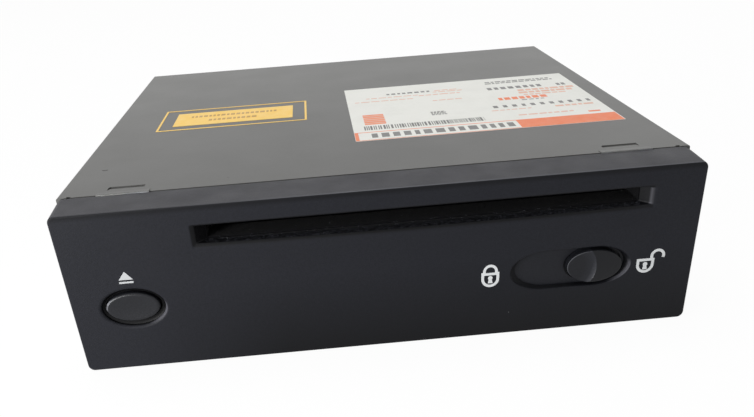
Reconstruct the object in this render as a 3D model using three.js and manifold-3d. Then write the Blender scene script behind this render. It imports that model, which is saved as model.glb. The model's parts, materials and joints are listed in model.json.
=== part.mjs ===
// A car navigation disc drive: a slot-loading drive in a flat steel case with a moulded front.
// Millimetres, +Z up. The front looks along -Y, +X is to the right of someone facing it,
// and the origin is the middle of the footprint.

import * as THREE from 'three';
import { mergeVertices } from 'three/addons/utils/BufferGeometryUtils.js';
import Module from 'manifold-3d';

const wasm = await Module();
wasm.setup();

// Sheets and the gaps between pieces
const coverSheet = 0.8;
const caseSheet = 1;
const seamGap = 0.3;
const fitGap = 0.3;
const overrun = 2;

// The disc, and the room around it. Places along Y are measured from the front face.
const discRadius = 60;
const discThickness = 1.2;
const bezelDepth = 13.85;
const bezelToDisc = 14.85;
const discToRear = 24.3;

// The slot, and the face around it
const slotPlay = 1.25;
const slotEndSpread = 3.15;
const slotEndFlare = 3;
const slotHeight = 5.95;
const throatHeight = 5.2;
const slotLipChamfer = 0.5;
const faceLeftOfThroat = 40.55;
const faceRightOfThroat = 16.95;
const faceTaper = 1.1;

const throatWidth = 2 * (discRadius + slotPlay);
const slotWidth = throatWidth + 2 * slotEndSpread;
const faceWidth = throatWidth + faceLeftOfThroat + faceRightOfThroat;
const bodyWidth = faceWidth + 2 * faceTaper;
const bodyFront = bezelDepth + seamGap;
const discCentreX = (faceLeftOfThroat - faceRightOfThroat) / 2;
const discCentreY = bodyFront + bezelToDisc + discRadius;
const bodyRear = discCentreY + discRadius + discToRear;
const slotLeft = discCentreX - throatWidth / 2;
const slotRight = discCentreX + throatWidth / 2;
const caseHalf = bodyWidth / 2 - coverSheet - fitGap;

// The loader's gears, all of one module
const gearModule = 0.8;
const toothBacklash = 0.3;
const addendumShare = 0.75;
const dedendumShare = 1.1;
const motorTeeth = 9;
const reductionTeeth = 30;
const stepDownTeeth = 12;
const clutchTeeth = 27;
const idlerTeeth = 21;
const rollerTeeth = 14;
const modeTeeth = 24;
const rackTeeth = 5;
const axleRadius = 1.5;
const reductionFloorGap = 6.8;
const reductionDropShare = 0.89102564;
const motorDropShare = 0.38461538;

// The feed roller and the bracket that lowers it
const rollerToBezel = 10.85;
const rollerEndRadius = 4;
const rollerWaistRadius = 3.2;
const rollerOverlap = 0.25;
const rollerDrop = 4;

// The heights of the gear train, up to the disc above the roller
const pitchRadius = (teeth) => (teeth * gearModule) / 2;
const centreDistance = (a, b) => pitchRadius(a) + pitchRadius(b);
const rollerY = bodyFront + rollerToBezel;
const rollerLength = throatWidth + 2 * rollerOverlap;
const armReach = centreDistance(idlerTeeth, rollerTeeth);
const pivotBelowRoller = rollerDrop / 2;
const clutchReach = centreDistance(clutchTeeth, stepDownTeeth);
const reductionBelowPivot = reductionDropShare * clutchReach;
const motorReach = centreDistance(reductionTeeth, motorTeeth);
const motorBelowReduction = motorDropShare * motorReach;
const reductionTip = pitchRadius(reductionTeeth) + addendumShare * gearModule;
const reductionZ = caseSheet + reductionFloorGap + reductionTip;
const pivotZ = reductionZ + reductionBelowPivot;
const rollerZ = pivotZ + pivotBelowRoller;
const motorZ = reductionZ - motorBelowReduction;
const pivotY = rollerY + Math.sqrt(armReach ** 2 - pivotBelowRoller ** 2);
const reductionY = pivotY + Math.sqrt(clutchReach ** 2 - reductionBelowPivot ** 2);
const motorY = reductionY + Math.sqrt(motorReach ** 2 - motorBelowReduction ** 2);
const bracketSwing = 2 * Math.asin(pivotBelowRoller / armReach);
const playDrop = 3.2;
const discUnderside = rollerZ + rollerEndRadius;
const discPathZ = discUnderside + discThickness / 2;
const discTopside = discUnderside + discThickness;
const turntableTop = discUnderside - playDrop;
const throatBottom = discPathZ - throatHeight / 2;
const throatTop = discPathZ + throatHeight / 2;

// The clamp over the disc, which gives the drive its height
const clampPlateRise = 4.9;
const clampSheet = 1.1;
const clamperFlangeThickness = 1;
const clamperTopGap = 0.7;
const clampHingeBehindDisc = 3;
const clampHingeRise = 2.6;
const clamperLift = 4.2;
const clampPlateBottom = discPathZ + clampPlateRise;
const clampPlateTop = clampPlateBottom + clampSheet;
const clamperFlangeTop = clampPlateTop + fitGap + clamperFlangeThickness;
const coverUnderside = clamperFlangeTop + clamperTopGap;
const bodyHeight = coverUnderside + coverSheet;
const clampHingeY = discCentreY + discRadius + clampHingeBehindDisc;
const clampHingeZ = discPathZ + clampHingeRise;
const clampSwing = Math.asin(clamperLift / (clampHingeY - discCentreY));

// The eject button
const buttonInset = 17.3;
const buttonBelowSlot = 18.1;
const buttonWidth = 15.2;
const buttonHeight = 9.2;
const buttonTravel = 1;
const buttonX = buttonInset - faceWidth / 2;
const buttonZ = throatBottom - buttonBelowSlot;

// The lock slider
const knobInset = 29.1;
const knobBelowSlot = 17.8;
const knobWidth = 17.1;
const knobHeight = 10.8;
const knobTravel = 13.2;
const knobProud = 1.2;
const ridgeProud = 0.5;
const knobX = faceWidth / 2 - knobInset;
const knobZ = throatBottom - knobBelowSlot;

// The rear socket
const socketProud = 4;

// The mode slider and the pickup
const modeTravel = 10;
const lensInnerRadius = 23;

// How many sides round things have
const largeSides = 32;
const roundSides = 18;
const smallSides = 10;
const tinySides = 8;
const cornerSteps = 3;
const arcSteps = 10;

// Finishes
function finish(color, roughness, metalness) {
  return new THREE.MeshStandardMaterial({ color, roughness, metalness });
}
const bezelPlastic = finish(0x292a2e, 0.62, 0);
const knobPlastic = finish(0x34353b, 0.5, 0);
const innerPlastic = finish(0xd9d6cc, 0.5, 0);
const blackPlastic = finish(0x17181a, 0.55, 0);
const coverPaint = finish(0x59595a, 0.55, 0.5);
const bareSteel = finish(0xa9abad, 0.38, 0.9);
const polishedSteel = finish(0xcfd1d3, 0.2, 1);
const castMetal = finish(0x8f9193, 0.5, 0.8);
const boardGreen = finish(0x1f5a3a, 0.5, 0);
const feltBlack = finish(0x121214, 0.98, 0);
const rubberGrey = finish(0x2b2b2c, 0.85, 0);
const lensGlass = finish(0x9fb6d8, 0.05, 0);
const cableWhite = finish(0xdadbd6, 0.6, 0);

// Solids

function solidOf(geometry) {
  const bare = geometry.clone();
  bare.deleteAttribute('normal');
  bare.deleteAttribute('uv');
  const weldDistance = 1e-4;
  const merged = mergeVertices(bare, weldDistance);
  const corners = merged.index.array;
  const triangles = [];
  for (let i = 0; i < corners.length; i += 3) {
    const [a, b, c] = [corners[i], corners[i + 1], corners[i + 2]];
    if (a !== b && b !== c && c !== a) triangles.push(a, b, c);
  }
  return new wasm.Manifold(new wasm.Mesh({
    numProp: 3,
    vertProperties: new Float32Array(merged.attributes.position.array),
    triVerts: new Uint32Array(triangles),
  }));
}

function geometryOf(solid) {
  const mesh = solid.getMesh();
  const geometry = new THREE.BufferGeometry();
  geometry.setAttribute('position', new THREE.BufferAttribute(new Float32Array(mesh.vertProperties), 3));
  geometry.setIndex(new THREE.BufferAttribute(new Uint32Array(mesh.triVerts), 1));
  geometry.computeVertexNormals();
  return geometry;
}

function join(...solids) {
  return solids.flat().reduce((whole, next) => whole.add(next));
}

function cut(solid, ...tools) {
  return tools.flat().reduce((left, tool) => left.subtract(tool), solid);
}

function span(centre, size) {
  return [centre - size / 2, centre + size / 2];
}

// A block between limits along each axis
function block({ x, y, z }) {
  const geometry = new THREE.BoxGeometry(x[1] - x[0], y[1] - y[0], z[1] - z[0]);
  geometry.translate((x[0] + x[1]) / 2, (y[0] + y[1]) / 2, (z[0] + z[1]) / 2);
  return solidOf(geometry);
}

const alongZ = new THREE.Matrix4();
const alongY = new THREE.Matrix4().makeRotationX(Math.PI / 2);
const alongX = new THREE.Matrix4().makeBasis(
  new THREE.Vector3(0, 1, 0),
  new THREE.Vector3(0, 0, 1),
  new THREE.Vector3(1, 0, 0),
);

function extruded(shape, depth, turn) {
  const geometry = new THREE.ExtrudeGeometry(shape, { depth, bevelEnabled: false, curveSegments: arcSteps });
  return geometry.applyMatrix4(turn);
}

// Plates: an outline in the other two axes, thick between two limits of the named one
function plateX(shape, [low, high]) {
  return solidOf(extruded(shape, high - low, alongX).translate(low, 0, 0));
}

function plateY(shape, [low, high]) {
  return solidOf(extruded(shape, high - low, alongY).translate(0, high, 0));
}

function plateZ(shape, [low, high]) {
  return solidOf(extruded(shape, high - low, alongZ).translate(0, 0, low));
}

// Round bars along each axis
function barX(radius, [low, high], y, z, sides = smallSides) {
  const geometry = new THREE.CylinderGeometry(radius, radius, high - low, sides).rotateZ(-Math.PI / 2);
  return solidOf(geometry.translate((low + high) / 2, y, z));
}

function barY(radius, x, [low, high], z, sides = smallSides) {
  const geometry = new THREE.CylinderGeometry(radius, radius, high - low, sides);
  return solidOf(geometry.translate(x, (low + high) / 2, z));
}

function barZ(radius, x, y, [low, high], sides = smallSides) {
  const geometry = new THREE.CylinderGeometry(radius, radius, high - low, sides).rotateX(Math.PI / 2);
  return solidOf(geometry.translate(x, y, (low + high) / 2));
}

// A turned piece: pairs of radius and height, from axis to axis or closed on itself
function turned(profile, sides) {
  const points = profile.map(([radius, height]) => new THREE.Vector2(radius, height));
  return new THREE.LatheGeometry(points, sides);
}

function turnedX(profile, y, z, sides = roundSides) {
  return solidOf(turned(profile, sides).rotateZ(-Math.PI / 2).translate(0, y, z));
}

function turnedZ(profile, x, y, sides = roundSides) {
  return solidOf(turned(profile, sides).rotateX(Math.PI / 2).translate(x, y, 0));
}

// A skin over rings of points, closed by flat ends
function lofted(rings) {
  const positions = rings.flat().flat();
  const count = rings[0].length;
  const index = [];
  for (let ring = 0; ring + 1 < rings.length; ring += 1) {
    for (let i = 0; i < count; i += 1) {
      const next = (i + 1) % count;
      const [a, b] = [ring * count + i, ring * count + next];
      const [c, d] = [a + count, b + count];
      index.push(a, b, d, a, d, c);
    }
  }
  const last = (rings.length - 1) * count;
  for (let i = 1; i + 1 < count; i += 1) {
    index.push(0, i + 1, i);
    index.push(last, last + i, last + i + 1);
  }
  const geometry = new THREE.BufferGeometry();
  geometry.setAttribute('position', new THREE.Float32BufferAttribute(positions, 3));
  geometry.setIndex(index);
  return solidOf(geometry);
}

// A ring in a plane of constant y, from an outline in x and z that runs clockwise seen from the front
function ringAt(y, outline) {
  return outline.map(([x, z]) => [x, y, z]);
}

// An ellipse whose left and right halves stand apart, as points in x and z
function longEllipse(leftX, rightX, z, halfWidth, halfHeight, sides = largeSides) {
  const points = [];
  for (let i = 0; i < sides; i += 1) {
    const turn = (2 * Math.PI * (i + 1 / 2)) / sides;
    const centre = Math.cos(turn) < 0 ? leftX : rightX;
    points.push([centre + halfWidth * Math.cos(turn), z - halfHeight * Math.sin(turn)]);
  }
  return points;
}

// A rectangle with its own radius for the top and for the bottom corners
function roundedOutline(halfWidth, [bottom, top], topRadius, bottomRadius) {
  const points = [];
  const corners = [
    [halfWidth, bottom, bottomRadius],
    [-halfWidth, bottom, bottomRadius],
    [-halfWidth, top, topRadius],
    [halfWidth, top, topRadius],
  ];
  corners.forEach(([x, z, radius], quarter) => {
    const centreX = x - Math.sign(x) * radius;
    const centreZ = z === bottom ? z + radius : z - radius;
    for (let step = 0; step <= cornerSteps; step += 1) {
      const turn = (Math.PI / 2) * (quarter + step / cornerSteps);
      points.push([centreX + radius * Math.cos(turn), centreZ - radius * Math.sin(turn)]);
    }
  });
  return points;
}

function shapeOf(points) {
  return new THREE.Shape(points.map(([u, v]) => new THREE.Vector2(u, v)));
}

// A round-ended outline from one point to another
function slotShape([u0, v0], [u1, v1], radius, steps = cornerSteps) {
  const heading = Math.atan2(v1 - v0, u1 - u0);
  const points = [];
  for (const [u, v, start] of [[u1, v1, heading - Math.PI / 2], [u0, v0, heading + Math.PI / 2]]) {
    for (let i = 0; i <= steps; i += 1) {
      const turn = start + (Math.PI * i) / steps;
      points.push([u + radius * Math.cos(turn), v + radius * Math.sin(turn)]);
    }
  }
  return shapeOf(points);
}

// A plate across X that links round ends along a path in y and z
function linkX(path, radius, x) {
  const legs = [];
  for (let i = 0; i + 1 < path.length; i += 1) {
    legs.push(plateX(slotShape(path[i], path[i + 1], radius), x));
  }
  return join(legs);
}

// Gears

// The outline of a spur gear with a tooth centred on the angle phase
function gearOutline(teeth, phase) {
  const radius = pitchRadius(teeth);
  const rootRadius = radius - dedendumShare * gearModule;
  const tipRadius = radius + addendumShare * gearModule;
  const halfTooth = (Math.PI * gearModule - toothBacklash) / 4 / radius;
  const rootWidthShare = 1.45;
  const tipWidthShare = 0.5;
  const points = [];
  for (let tooth = 0; tooth < teeth; tooth += 1) {
    const middle = phase + (2 * Math.PI * tooth) / teeth;
    const steps = [
      [rootRadius, -rootWidthShare],
      [tipRadius, -tipWidthShare],
      [tipRadius, tipWidthShare],
      [rootRadius, rootWidthShare],
    ];
    for (const [reach, share] of steps) {
      const turn = middle + share * halfTooth;
      points.push([reach * Math.cos(turn), reach * Math.sin(turn)]);
    }
  }
  return points;
}

function gearX(teeth, phase, y, z, x, boreRadius = 0) {
  const blank = plateX(shapeOf(gearOutline(teeth, phase).map(([u, v]) => [y + u, z + v])), x);
  if (boreRadius === 0) return blank;
  return cut(blank, barX(boreRadius, [x[0] - overrun, x[1] + overrun], y, z));
}

// The phase that puts the second gear's gap on the first gear's tooth, along the line of centres
function meshPhase(phase, teeth, nextTeeth, direction) {
  return direction + Math.PI - ((phase - direction) * teeth) / nextTeeth + Math.PI / nextTeeth;
}

const pieces = [];

function add(name, solid, material, place) {
  const mesh = new THREE.Mesh(geometryOf(solid), material);
  mesh.name = name;
  if (place) mesh.position.copy(place);
  pieces.push(mesh);
}

// The front moulding

const faceWall = 2.5;
const bezelWall = 2.2;
const faceEdgeRadius = 0.9;
const bezelTopRadius = 0.6;
const bezelBottomRadius = 1.4;
const bezelStraight = 3.4;
const tunnelWall = 1.5;
const tunnelShort = 1.85;
const recessDraft = 0.6;
const buttonRecessMargin = 1.6;
const buttonRecessDepth = 1.2;
const buttonCollarWall = 1.4;
const buttonCollarDepth = 5;
const knobRecessMargin = 2.75;
const knobRecessRise = 0.75;
const knobRecessDepth = 2;
const lockPlateThickness = 1.2;
const lockPlateOverlap = 0.7;
const guideWall = 1.6;
const guideLip = 1.2;
const guideLipThickness = 1.2;
const boardShort = 2.85;
const boardThickness = 1.6;
const frontBoardBottom = 7;
const frontBoardBelowSlot = 4.3;
const stakeRadius = 1.3;
const shoulderRadius = 2.6;
const stakeLeftOfSlot = 8.55;
const stakeRightOfSlot = 6.95;
const stakeBoardInset = 3.5;
const hookInset = 17.4;
const hookWidth = 9;
const hookThickness = 1.6;
const hookRoot = 3.85;
const hookTip = 2;
const hookNubDepth = 0.5;
const hookNubHeight = 0.8;
const clipSlotBehindSeam = 4.85;
const clipSlotLength = 11.1;
const clipSlotWidth = 1.1;
const bridgeWidth = 15;
const bridgeReach = 0.75;
const bridgeDepth = 3;
const bridgeRise = 0.25;

const tunnelDepth = bezelDepth - tunnelShort;
const boardFrontY = bezelDepth - boardShort;
const frontBoardTop = throatBottom - frontBoardBelowSlot;
const stakeLeft = slotLeft - stakeLeftOfSlot;
const stakeRight = slotRight + stakeRightOfSlot;
const stakeLow = frontBoardBottom + stakeBoardInset;
const stakeHigh = frontBoardTop - stakeBoardInset;
const hookX = faceWidth / 2 - hookInset;
const clipSlotY = bodyFront + clipSlotBehindSeam;
const hookStart = bezelDepth - hookRoot;
const hookEnd = clipSlotY + hookTip;
const knobLockedX = knobX - knobTravel;
const knobRecessHalfWidth = knobWidth / 2 + knobRecessMargin;
const knobRecessHalfHeight = knobHeight / 2 + knobRecessRise;
const lockPlateFront = knobRecessDepth;
const lockPlateRear = lockPlateFront + lockPlateThickness;
const lockPlateLeft = knobLockedX - knobRecessHalfWidth - lockPlateOverlap;
const lockPlateRight = knobX + knobRecessHalfWidth + knobTravel + lockPlateOverlap;
const lockPlateHalfHeight = knobRecessHalfHeight + lockPlateOverlap;

function bezelShell() {
  const faceHalf = faceWidth / 2;
  const rearHalf = bodyWidth / 2;
  const outline = (half, inset) => roundedOutline(
    half - inset,
    [inset, bodyHeight - inset],
    bezelTopRadius + faceEdgeRadius - inset,
    bezelBottomRadius + faceEdgeRadius - inset,
  );
  const rings = [];
  for (let step = 0; step <= cornerSteps; step += 1) {
    const turn = (Math.PI / 2) * (step / cornerSteps);
    const inset = faceEdgeRadius * (1 - Math.sin(turn));
    rings.push(ringAt(faceEdgeRadius * (1 - Math.cos(turn)), outline(faceHalf, inset)));
  }
  rings.push(ringAt(bezelDepth - bezelStraight, outline(rearHalf, 0)));
  rings.push(ringAt(bezelDepth, outline(rearHalf, 0)));
  const hollowHalf = faceHalf - bezelWall;
  const hollow = block({
    x: [-hollowHalf, hollowHalf],
    y: [faceWall, bezelDepth + overrun],
    z: [bezelWall, bodyHeight - bezelWall],
  });
  return cut(lofted(rings), hollow);
}

function slotTool() {
  const flare = shapeOf([
    [-slotWidth / 2 + discCentreX, 0],
    [-slotWidth / 2 + discCentreX, -overrun],
    [slotWidth / 2 + discCentreX, -overrun],
    [slotWidth / 2 + discCentreX, 0],
    [slotRight, slotEndFlare],
    [slotRight, tunnelDepth + overrun],
    [slotLeft, tunnelDepth + overrun],
    [slotLeft, slotEndFlare],
  ]);
  const lips = shapeOf([
    [-overrun, discPathZ - slotHeight / 2],
    [0, discPathZ - slotHeight / 2],
    [slotLipChamfer, throatBottom],
    [slotLipChamfer, throatTop],
    [0, discPathZ + slotHeight / 2],
    [-overrun, discPathZ + slotHeight / 2],
  ]);
  return join(plateZ(flare, [throatBottom, throatTop]), plateX(lips, span(discCentreX, slotWidth)));
}

function recessTool(leftX, rightX, z, halfWidth, halfHeight, depth) {
  const at = (y, inset) => ringAt(y, longEllipse(leftX, rightX, z, halfWidth - inset, halfHeight - inset));
  return lofted([at(-overrun, 0), at(0, 0), at(depth, recessDraft)]);
}

function ellipticBar(leftX, rightX, z, halfWidth, halfHeight, [low, high]) {
  const outline = longEllipse(leftX, rightX, z, halfWidth, halfHeight);
  return lofted([ringAt(low, outline), ringAt(high, outline)]);
}

// A hook arm that runs back from the moulding under the sheet, with a nub for the sheet's slot
function bezelHook(x, sheetFace, up) {
  const armFace = sheetFace - up * fitGap;
  const armRange = [armFace - up * hookThickness, armFace].sort((a, b) => a - b);
  const nubRange = [armFace - up * hookThickness, armFace + up * hookNubHeight].sort((a, b) => a - b);
  return join(
    block({ x: span(x, hookWidth), y: [hookStart, hookEnd], z: armRange }),
    block({ x: span(x, hookWidth), y: span(clipSlotY, hookNubDepth), z: nubRange }),
  );
}

function bezelStakes() {
  const stakes = [];
  for (const x of [stakeLeft, stakeRight]) {
    for (const z of [stakeLow, stakeHigh]) {
      stakes.push(barY(shoulderRadius, x, [faceWall - fitGap, boardFrontY - fitGap], z));
      stakes.push(barY(stakeRadius, x, [faceWall, boardFrontY + boardThickness], z));
    }
  }
  return stakes;
}

function frontBezel() {
  const tunnel = block({
    x: [slotLeft - tunnelWall, slotRight + tunnelWall],
    y: [faceWall - fitGap, tunnelDepth],
    z: [throatBottom - tunnelWall, throatTop + tunnelWall],
  });
  const collar = ellipticBar(
    buttonX,
    buttonX,
    buttonZ,
    buttonWidth / 2 + fitGap + buttonCollarWall,
    buttonHeight / 2 + fitGap + buttonCollarWall,
    [faceWall - fitGap, buttonCollarDepth],
  );
  const buttonHole = ellipticBar(
    buttonX,
    buttonX,
    buttonZ,
    buttonWidth / 2 + fitGap,
    buttonHeight / 2 + fitGap,
    [-overrun, buttonCollarDepth + overrun],
  );
  const buttonRecess = recessTool(
    buttonX,
    buttonX,
    buttonZ,
    buttonWidth / 2 + buttonRecessMargin,
    buttonHeight / 2 + buttonRecessMargin,
    buttonRecessDepth,
  );
  const knobRecess = recessTool(
    knobLockedX,
    knobX,
    knobZ,
    knobRecessHalfWidth,
    knobRecessHalfHeight,
    knobRecessDepth,
  );
  const plateRange = [lockPlateLeft - knobTravel - fitGap, lockPlateRight + fitGap];
  const guideRear = lockPlateRear + fitGap + guideLipThickness;
  const guides = block({
    x: [plateRange[0] - guideWall, plateRange[1] + guideWall],
    y: [faceWall - fitGap, guideRear],
    z: span(knobZ, 2 * (lockPlateHalfHeight + fitGap + guideWall)),
  });
  const platePocket = block({
    x: plateRange,
    y: [lockPlateFront - fitGap, lockPlateRear + fitGap],
    z: span(knobZ, 2 * (lockPlateHalfHeight + fitGap)),
  });
  const guideWindow = block({
    x: plateRange,
    y: [lockPlateFront, guideRear + overrun],
    z: span(knobZ, 2 * (lockPlateHalfHeight - guideLip)),
  });
  const bridgeNotches = [-hookX, hookX].map((x) => block({
    x: span(x, bridgeWidth + 2 * fitGap),
    y: [bezelDepth - bridgeReach, bezelDepth + overrun],
    z: [coverUnderside - fitGap, bodyHeight + overrun],
  }));
  const hooks = [-hookX, hookX].flatMap((x) => [
    bezelHook(x, coverUnderside, 1),
    bezelHook(x, caseSheet, -1),
  ]);
  const body = join(bezelShell(), tunnel, collar, guides, bezelStakes());
  const lockCuts = [knobRecess, platePocket, guideWindow];
  const open = cut(body, slotTool(), buttonRecess, buttonHole, lockCuts, bridgeNotches);
  return join(open, hooks);
}

// The steel cover

const coverBendRadius = 1;
const hemRadius = 0.3;
const skirtHeight = 13.5;
const coverFoldHeight = 7;
const coverFoldInset = 7.1;
const screwHoleRadius = 1.7;
const sideScrewToSeam = 19.85;
const sideScrewToRear = 23.3;
const sideScrewBelowTop = 8.7;
const rearScrewInset = 13.1;
const rearScrewBelowTop = 4.5;

const coverFoldHalf = bodyWidth / 2 - coverFoldInset;
const sideScrewFront = bodyFront + sideScrewToSeam;
const sideScrewRear = bodyRear - sideScrewToRear;
const sideScrewZ = bodyHeight - sideScrewBelowTop;
const rearScrewX = bodyWidth / 2 - rearScrewInset;
const rearScrewZ = bodyHeight - rearScrewBelowTop;

function topCover() {
  const outerHalf = bodyWidth / 2;
  const innerHalf = outerHalf - coverSheet;
  const hem = bodyHeight - skirtHeight;
  const outer = roundedOutline(outerHalf, [hem - overrun, bodyHeight], coverBendRadius, hemRadius);
  const innerBend = coverBendRadius - coverSheet;
  const inner = roundedOutline(innerHalf, [hem - 2 * overrun, coverUnderside], innerBend, hemRadius);
  const bent = cut(
    lofted([ringAt(bodyFront, outer), ringAt(bodyRear, outer)]),
    lofted([ringAt(bodyFront - overrun, inner), ringAt(bodyRear + overrun, inner)]),
    block({ x: [-bodyWidth, bodyWidth], y: [0, 2 * bodyRear], z: [0, hem] }),
  );
  const fold = block({
    x: [-coverFoldHalf, coverFoldHalf],
    y: [bodyRear - coverSheet, bodyRear],
    z: [bodyHeight - coverFoldHeight, bodyHeight - coverBendRadius / 2],
  });
  const clipSlots = [-hookX, hookX].map((x) => plateZ(
    slotShape(
      [x - (clipSlotLength - clipSlotWidth) / 2, clipSlotY],
      [x + (clipSlotLength - clipSlotWidth) / 2, clipSlotY],
      clipSlotWidth / 2,
    ),
    [coverUnderside - overrun, bodyHeight + overrun],
  ));
  const bridges = [-hookX, hookX].map((x) => block({
    x: span(x, bridgeWidth),
    y: [bodyFront - bridgeReach, bodyFront + bridgeDepth],
    z: [coverUnderside + bridgeRise, bodyHeight + bridgeRise],
  }));
  const sideHoles = [sideScrewFront, sideScrewRear].map((y) => barX(
    screwHoleRadius,
    [-bodyWidth, bodyWidth],
    y,
    sideScrewZ,
  ));
  const rearHoles = [-rearScrewX, rearScrewX].map((x) => barY(
    screwHoleRadius,
    x,
    [bodyRear - overrun, bodyRear + overrun],
    rearScrewZ,
  ));
  return cut(join(bent, fold, bridges), clipSlots, sideHoles, rearHoles);
}

// The lower case

const caseTop = coverUnderside - fitGap;
const panelRear = bodyRear - coverSheet - fitGap;
const panelFront = panelRear - coverSheet;
const flangeRear = panelFront - fitGap;
const flangeWidth = 14;
const ventCount = 7;
const ventPitch = 6;
const ventWidth = 2.4;
const ventHeight = 14;
const ventBehindMiddle = 9.35;
const ventZ = 22;
const bracketHoleRadius = 2.4;
const bracketHoleZ = 20;
const bracketHoleToSeam = 31.85;
const bracketHoleToRear = 21.3;
const boardBossRadius = 3;
const boardBossHeight = 4;
const boardSideGap = 4;
const boardRearGap = 4;
const boardBehindRoller = 51;
const boardBossInset = 5;

const ventFirstY = bodyRear / 2 + ventBehindMiddle;
const bracketHoleFront = bodyFront + bracketHoleToSeam;
const bracketHoleRear = bodyRear - bracketHoleToRear;
const boardHalfWidth = caseHalf - boardSideGap;
const mainBoardFront = rollerY + boardBehindRoller;
const mainBoardBottom = caseSheet + boardBossHeight;
const mainBoardTop = mainBoardBottom + boardThickness;
const mainBoardRear = flangeRear - boardRearGap;
const boardHolePlaces = [-1, 1].flatMap((side) => [
  [side * (boardHalfWidth - boardBossInset), mainBoardFront + boardBossInset],
  [side * (boardHalfWidth - boardBossInset), mainBoardRear - boardBossInset],
]);

function lowerCase() {
  const caseRear = panelRear;
  const outerHalf = bodyWidth / 2;
  const joggleTop = bodyHeight - skirtHeight - fitGap;
  const floor = block({ x: [-outerHalf, outerHalf], y: [bodyFront, caseRear], z: [0, caseSheet] });
  const sheets = (inner, outer, y, z) => [
    block({ x: [-outer, -inner], y, z }),
    block({ x: [inner, outer], y, z }),
  ];
  const length = [bodyFront, caseRear];
  const flange = [flangeRear - caseSheet, flangeRear];
  const walls = [
    ...sheets(outerHalf - caseSheet, outerHalf, length, [0, joggleTop]),
    ...sheets(caseHalf - caseSheet, outerHalf, length, [joggleTop - caseSheet, joggleTop]),
    ...sheets(caseHalf - caseSheet, caseHalf, length, [joggleTop - caseSheet, caseTop]),
    ...sheets(caseHalf - flangeWidth, caseHalf, flange, [0, caseTop]),
    ...sheets(caseHalf - caseSheet, outerHalf, flange, [0, joggleTop]),
  ];
  const bosses = boardHolePlaces.map(([x, y]) => barZ(boardBossRadius, x, y, [0, mainBoardBottom]));
  const vents = [];
  for (let i = 0; i < ventCount; i += 1) {
    const y = ventFirstY + i * ventPitch;
    vents.push(block({ x: [-bodyWidth, bodyWidth], y: span(y, ventWidth), z: span(ventZ, ventHeight) }));
  }
  const bracketHoles = [bracketHoleFront, bracketHoleRear].map((y) => barX(
    bracketHoleRadius,
    [-bodyWidth, bodyWidth],
    y,
    bracketHoleZ,
  ));
  const coverHoles = [sideScrewFront, sideScrewRear].map((y) => barX(
    screwHoleRadius,
    [-bodyWidth, bodyWidth],
    y,
    sideScrewZ,
  ));
  const rearHoles = [-rearScrewX, rearScrewX].map((x) => barY(
    screwHoleRadius,
    x,
    [flangeRear - overrun, flangeRear + overrun],
    rearScrewZ,
  ));
  const clipSlots = [-hookX, hookX].map((x) => block({
    x: span(x, clipSlotLength),
    y: span(clipSlotY, clipSlotWidth),
    z: [-overrun, caseSheet + overrun],
  }));
  return cut(join(floor, walls, bosses), vents, bracketHoles, coverHoles, rearHoles, clipSlots);
}

// The rear panel and its socket

const socketInset = 43.1;
const socketWidth = 40;
const socketHeight = 14;
const socketWall = 1.6;
const socketLength = 18;
const socketFloor = 5;
const pinSide = 0.8;
const pinLength = 6;
const pinColumns = 9;
const pinPitch = 3.8;
const pinRowShare = 0.2;
const rearVentPitch = 6;
const rearVentWidth = 2.6;
const rearVentHeight = 11;
const rearVentBelowTop = 17.7;
const rearVentToSocket = 5.7;
const rearVentToScrew = 7.65;
const rearRows = 2;

const socketX = socketInset - bodyWidth / 2;
const rearVentZ = bodyHeight - rearVentBelowTop;
const rearVentLeft = socketX + socketWidth / 2 + rearVentToSocket;
const rearVentRoom = rearScrewX - rearVentToScrew - rearVentLeft;
const rearVentColumns = Math.floor((rearVentRoom - rearVentWidth) / rearVentPitch) + 1;

const socketBottom = mainBoardTop;
const socketRear = bodyRear + socketProud;

function rearPanel() {
  const half = caseHalf - caseSheet - fitGap;
  const sheet = block({
    x: [-half, half],
    y: [panelFront, panelRear],
    z: [caseSheet + fitGap, caseTop],
  });
  const socketHole = block({
    x: span(socketX, socketWidth + 2 * fitGap),
    y: [panelFront - overrun, panelRear + overrun],
    z: [socketBottom - fitGap, socketBottom + socketHeight + fitGap],
  });
  const holes = [-rearScrewX, rearScrewX].map((x) => barY(
    screwHoleRadius,
    x,
    [panelFront - overrun, panelRear + overrun],
    rearScrewZ,
  ));
  const vents = [];
  for (let column = 0; column < rearVentColumns; column += 1) {
    for (let row = 0; row < rearRows; row += 1) {
      const x = rearVentLeft + rearVentWidth / 2 + column * rearVentPitch;
      const z = rearVentZ - row * (rearVentHeight + rearVentWidth);
      vents.push(block({
        x: span(x, rearVentWidth),
        y: [panelFront - overrun, panelRear + overrun],
        z: span(z, rearVentHeight),
      }));
    }
  }
  return cut(sheet, socketHole, holes, vents);
}

function rearSocket() {
  const shell = block({
    x: span(socketX, socketWidth),
    y: [socketRear - socketLength, socketRear],
    z: [socketBottom, socketBottom + socketHeight],
  });
  const cavity = block({
    x: span(socketX, socketWidth - 2 * socketWall),
    y: [socketRear - socketLength + socketFloor, socketRear + overrun],
    z: [socketBottom + socketWall, socketBottom + socketHeight - socketWall],
  });
  const pins = [];
  for (let column = 0; column < pinColumns; column += 1) {
    for (const row of [-1, 1]) {
      const x = socketX + (column - (pinColumns - 1) / 2) * pinPitch;
      const z = socketBottom + socketHeight / 2 + row * pinRowShare * socketHeight;
      const start = socketRear - socketLength + socketFloor;
      pins.push(block({
        x: span(x, pinSide),
        y: [start - pinSide, start + pinLength],
        z: span(z, pinSide),
      }));
    }
  }
  return join(cut(shell, cavity), pins);
}

// The pan-head screws that hold the cover and the rear panel
const screwHeadRadius = 2.6;
const screwHeadHeight = 1.2;
const screwShankRadius = 1.3;
const screwShankLength = 3.6;
const screwHeadCrown = 0.4;

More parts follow.
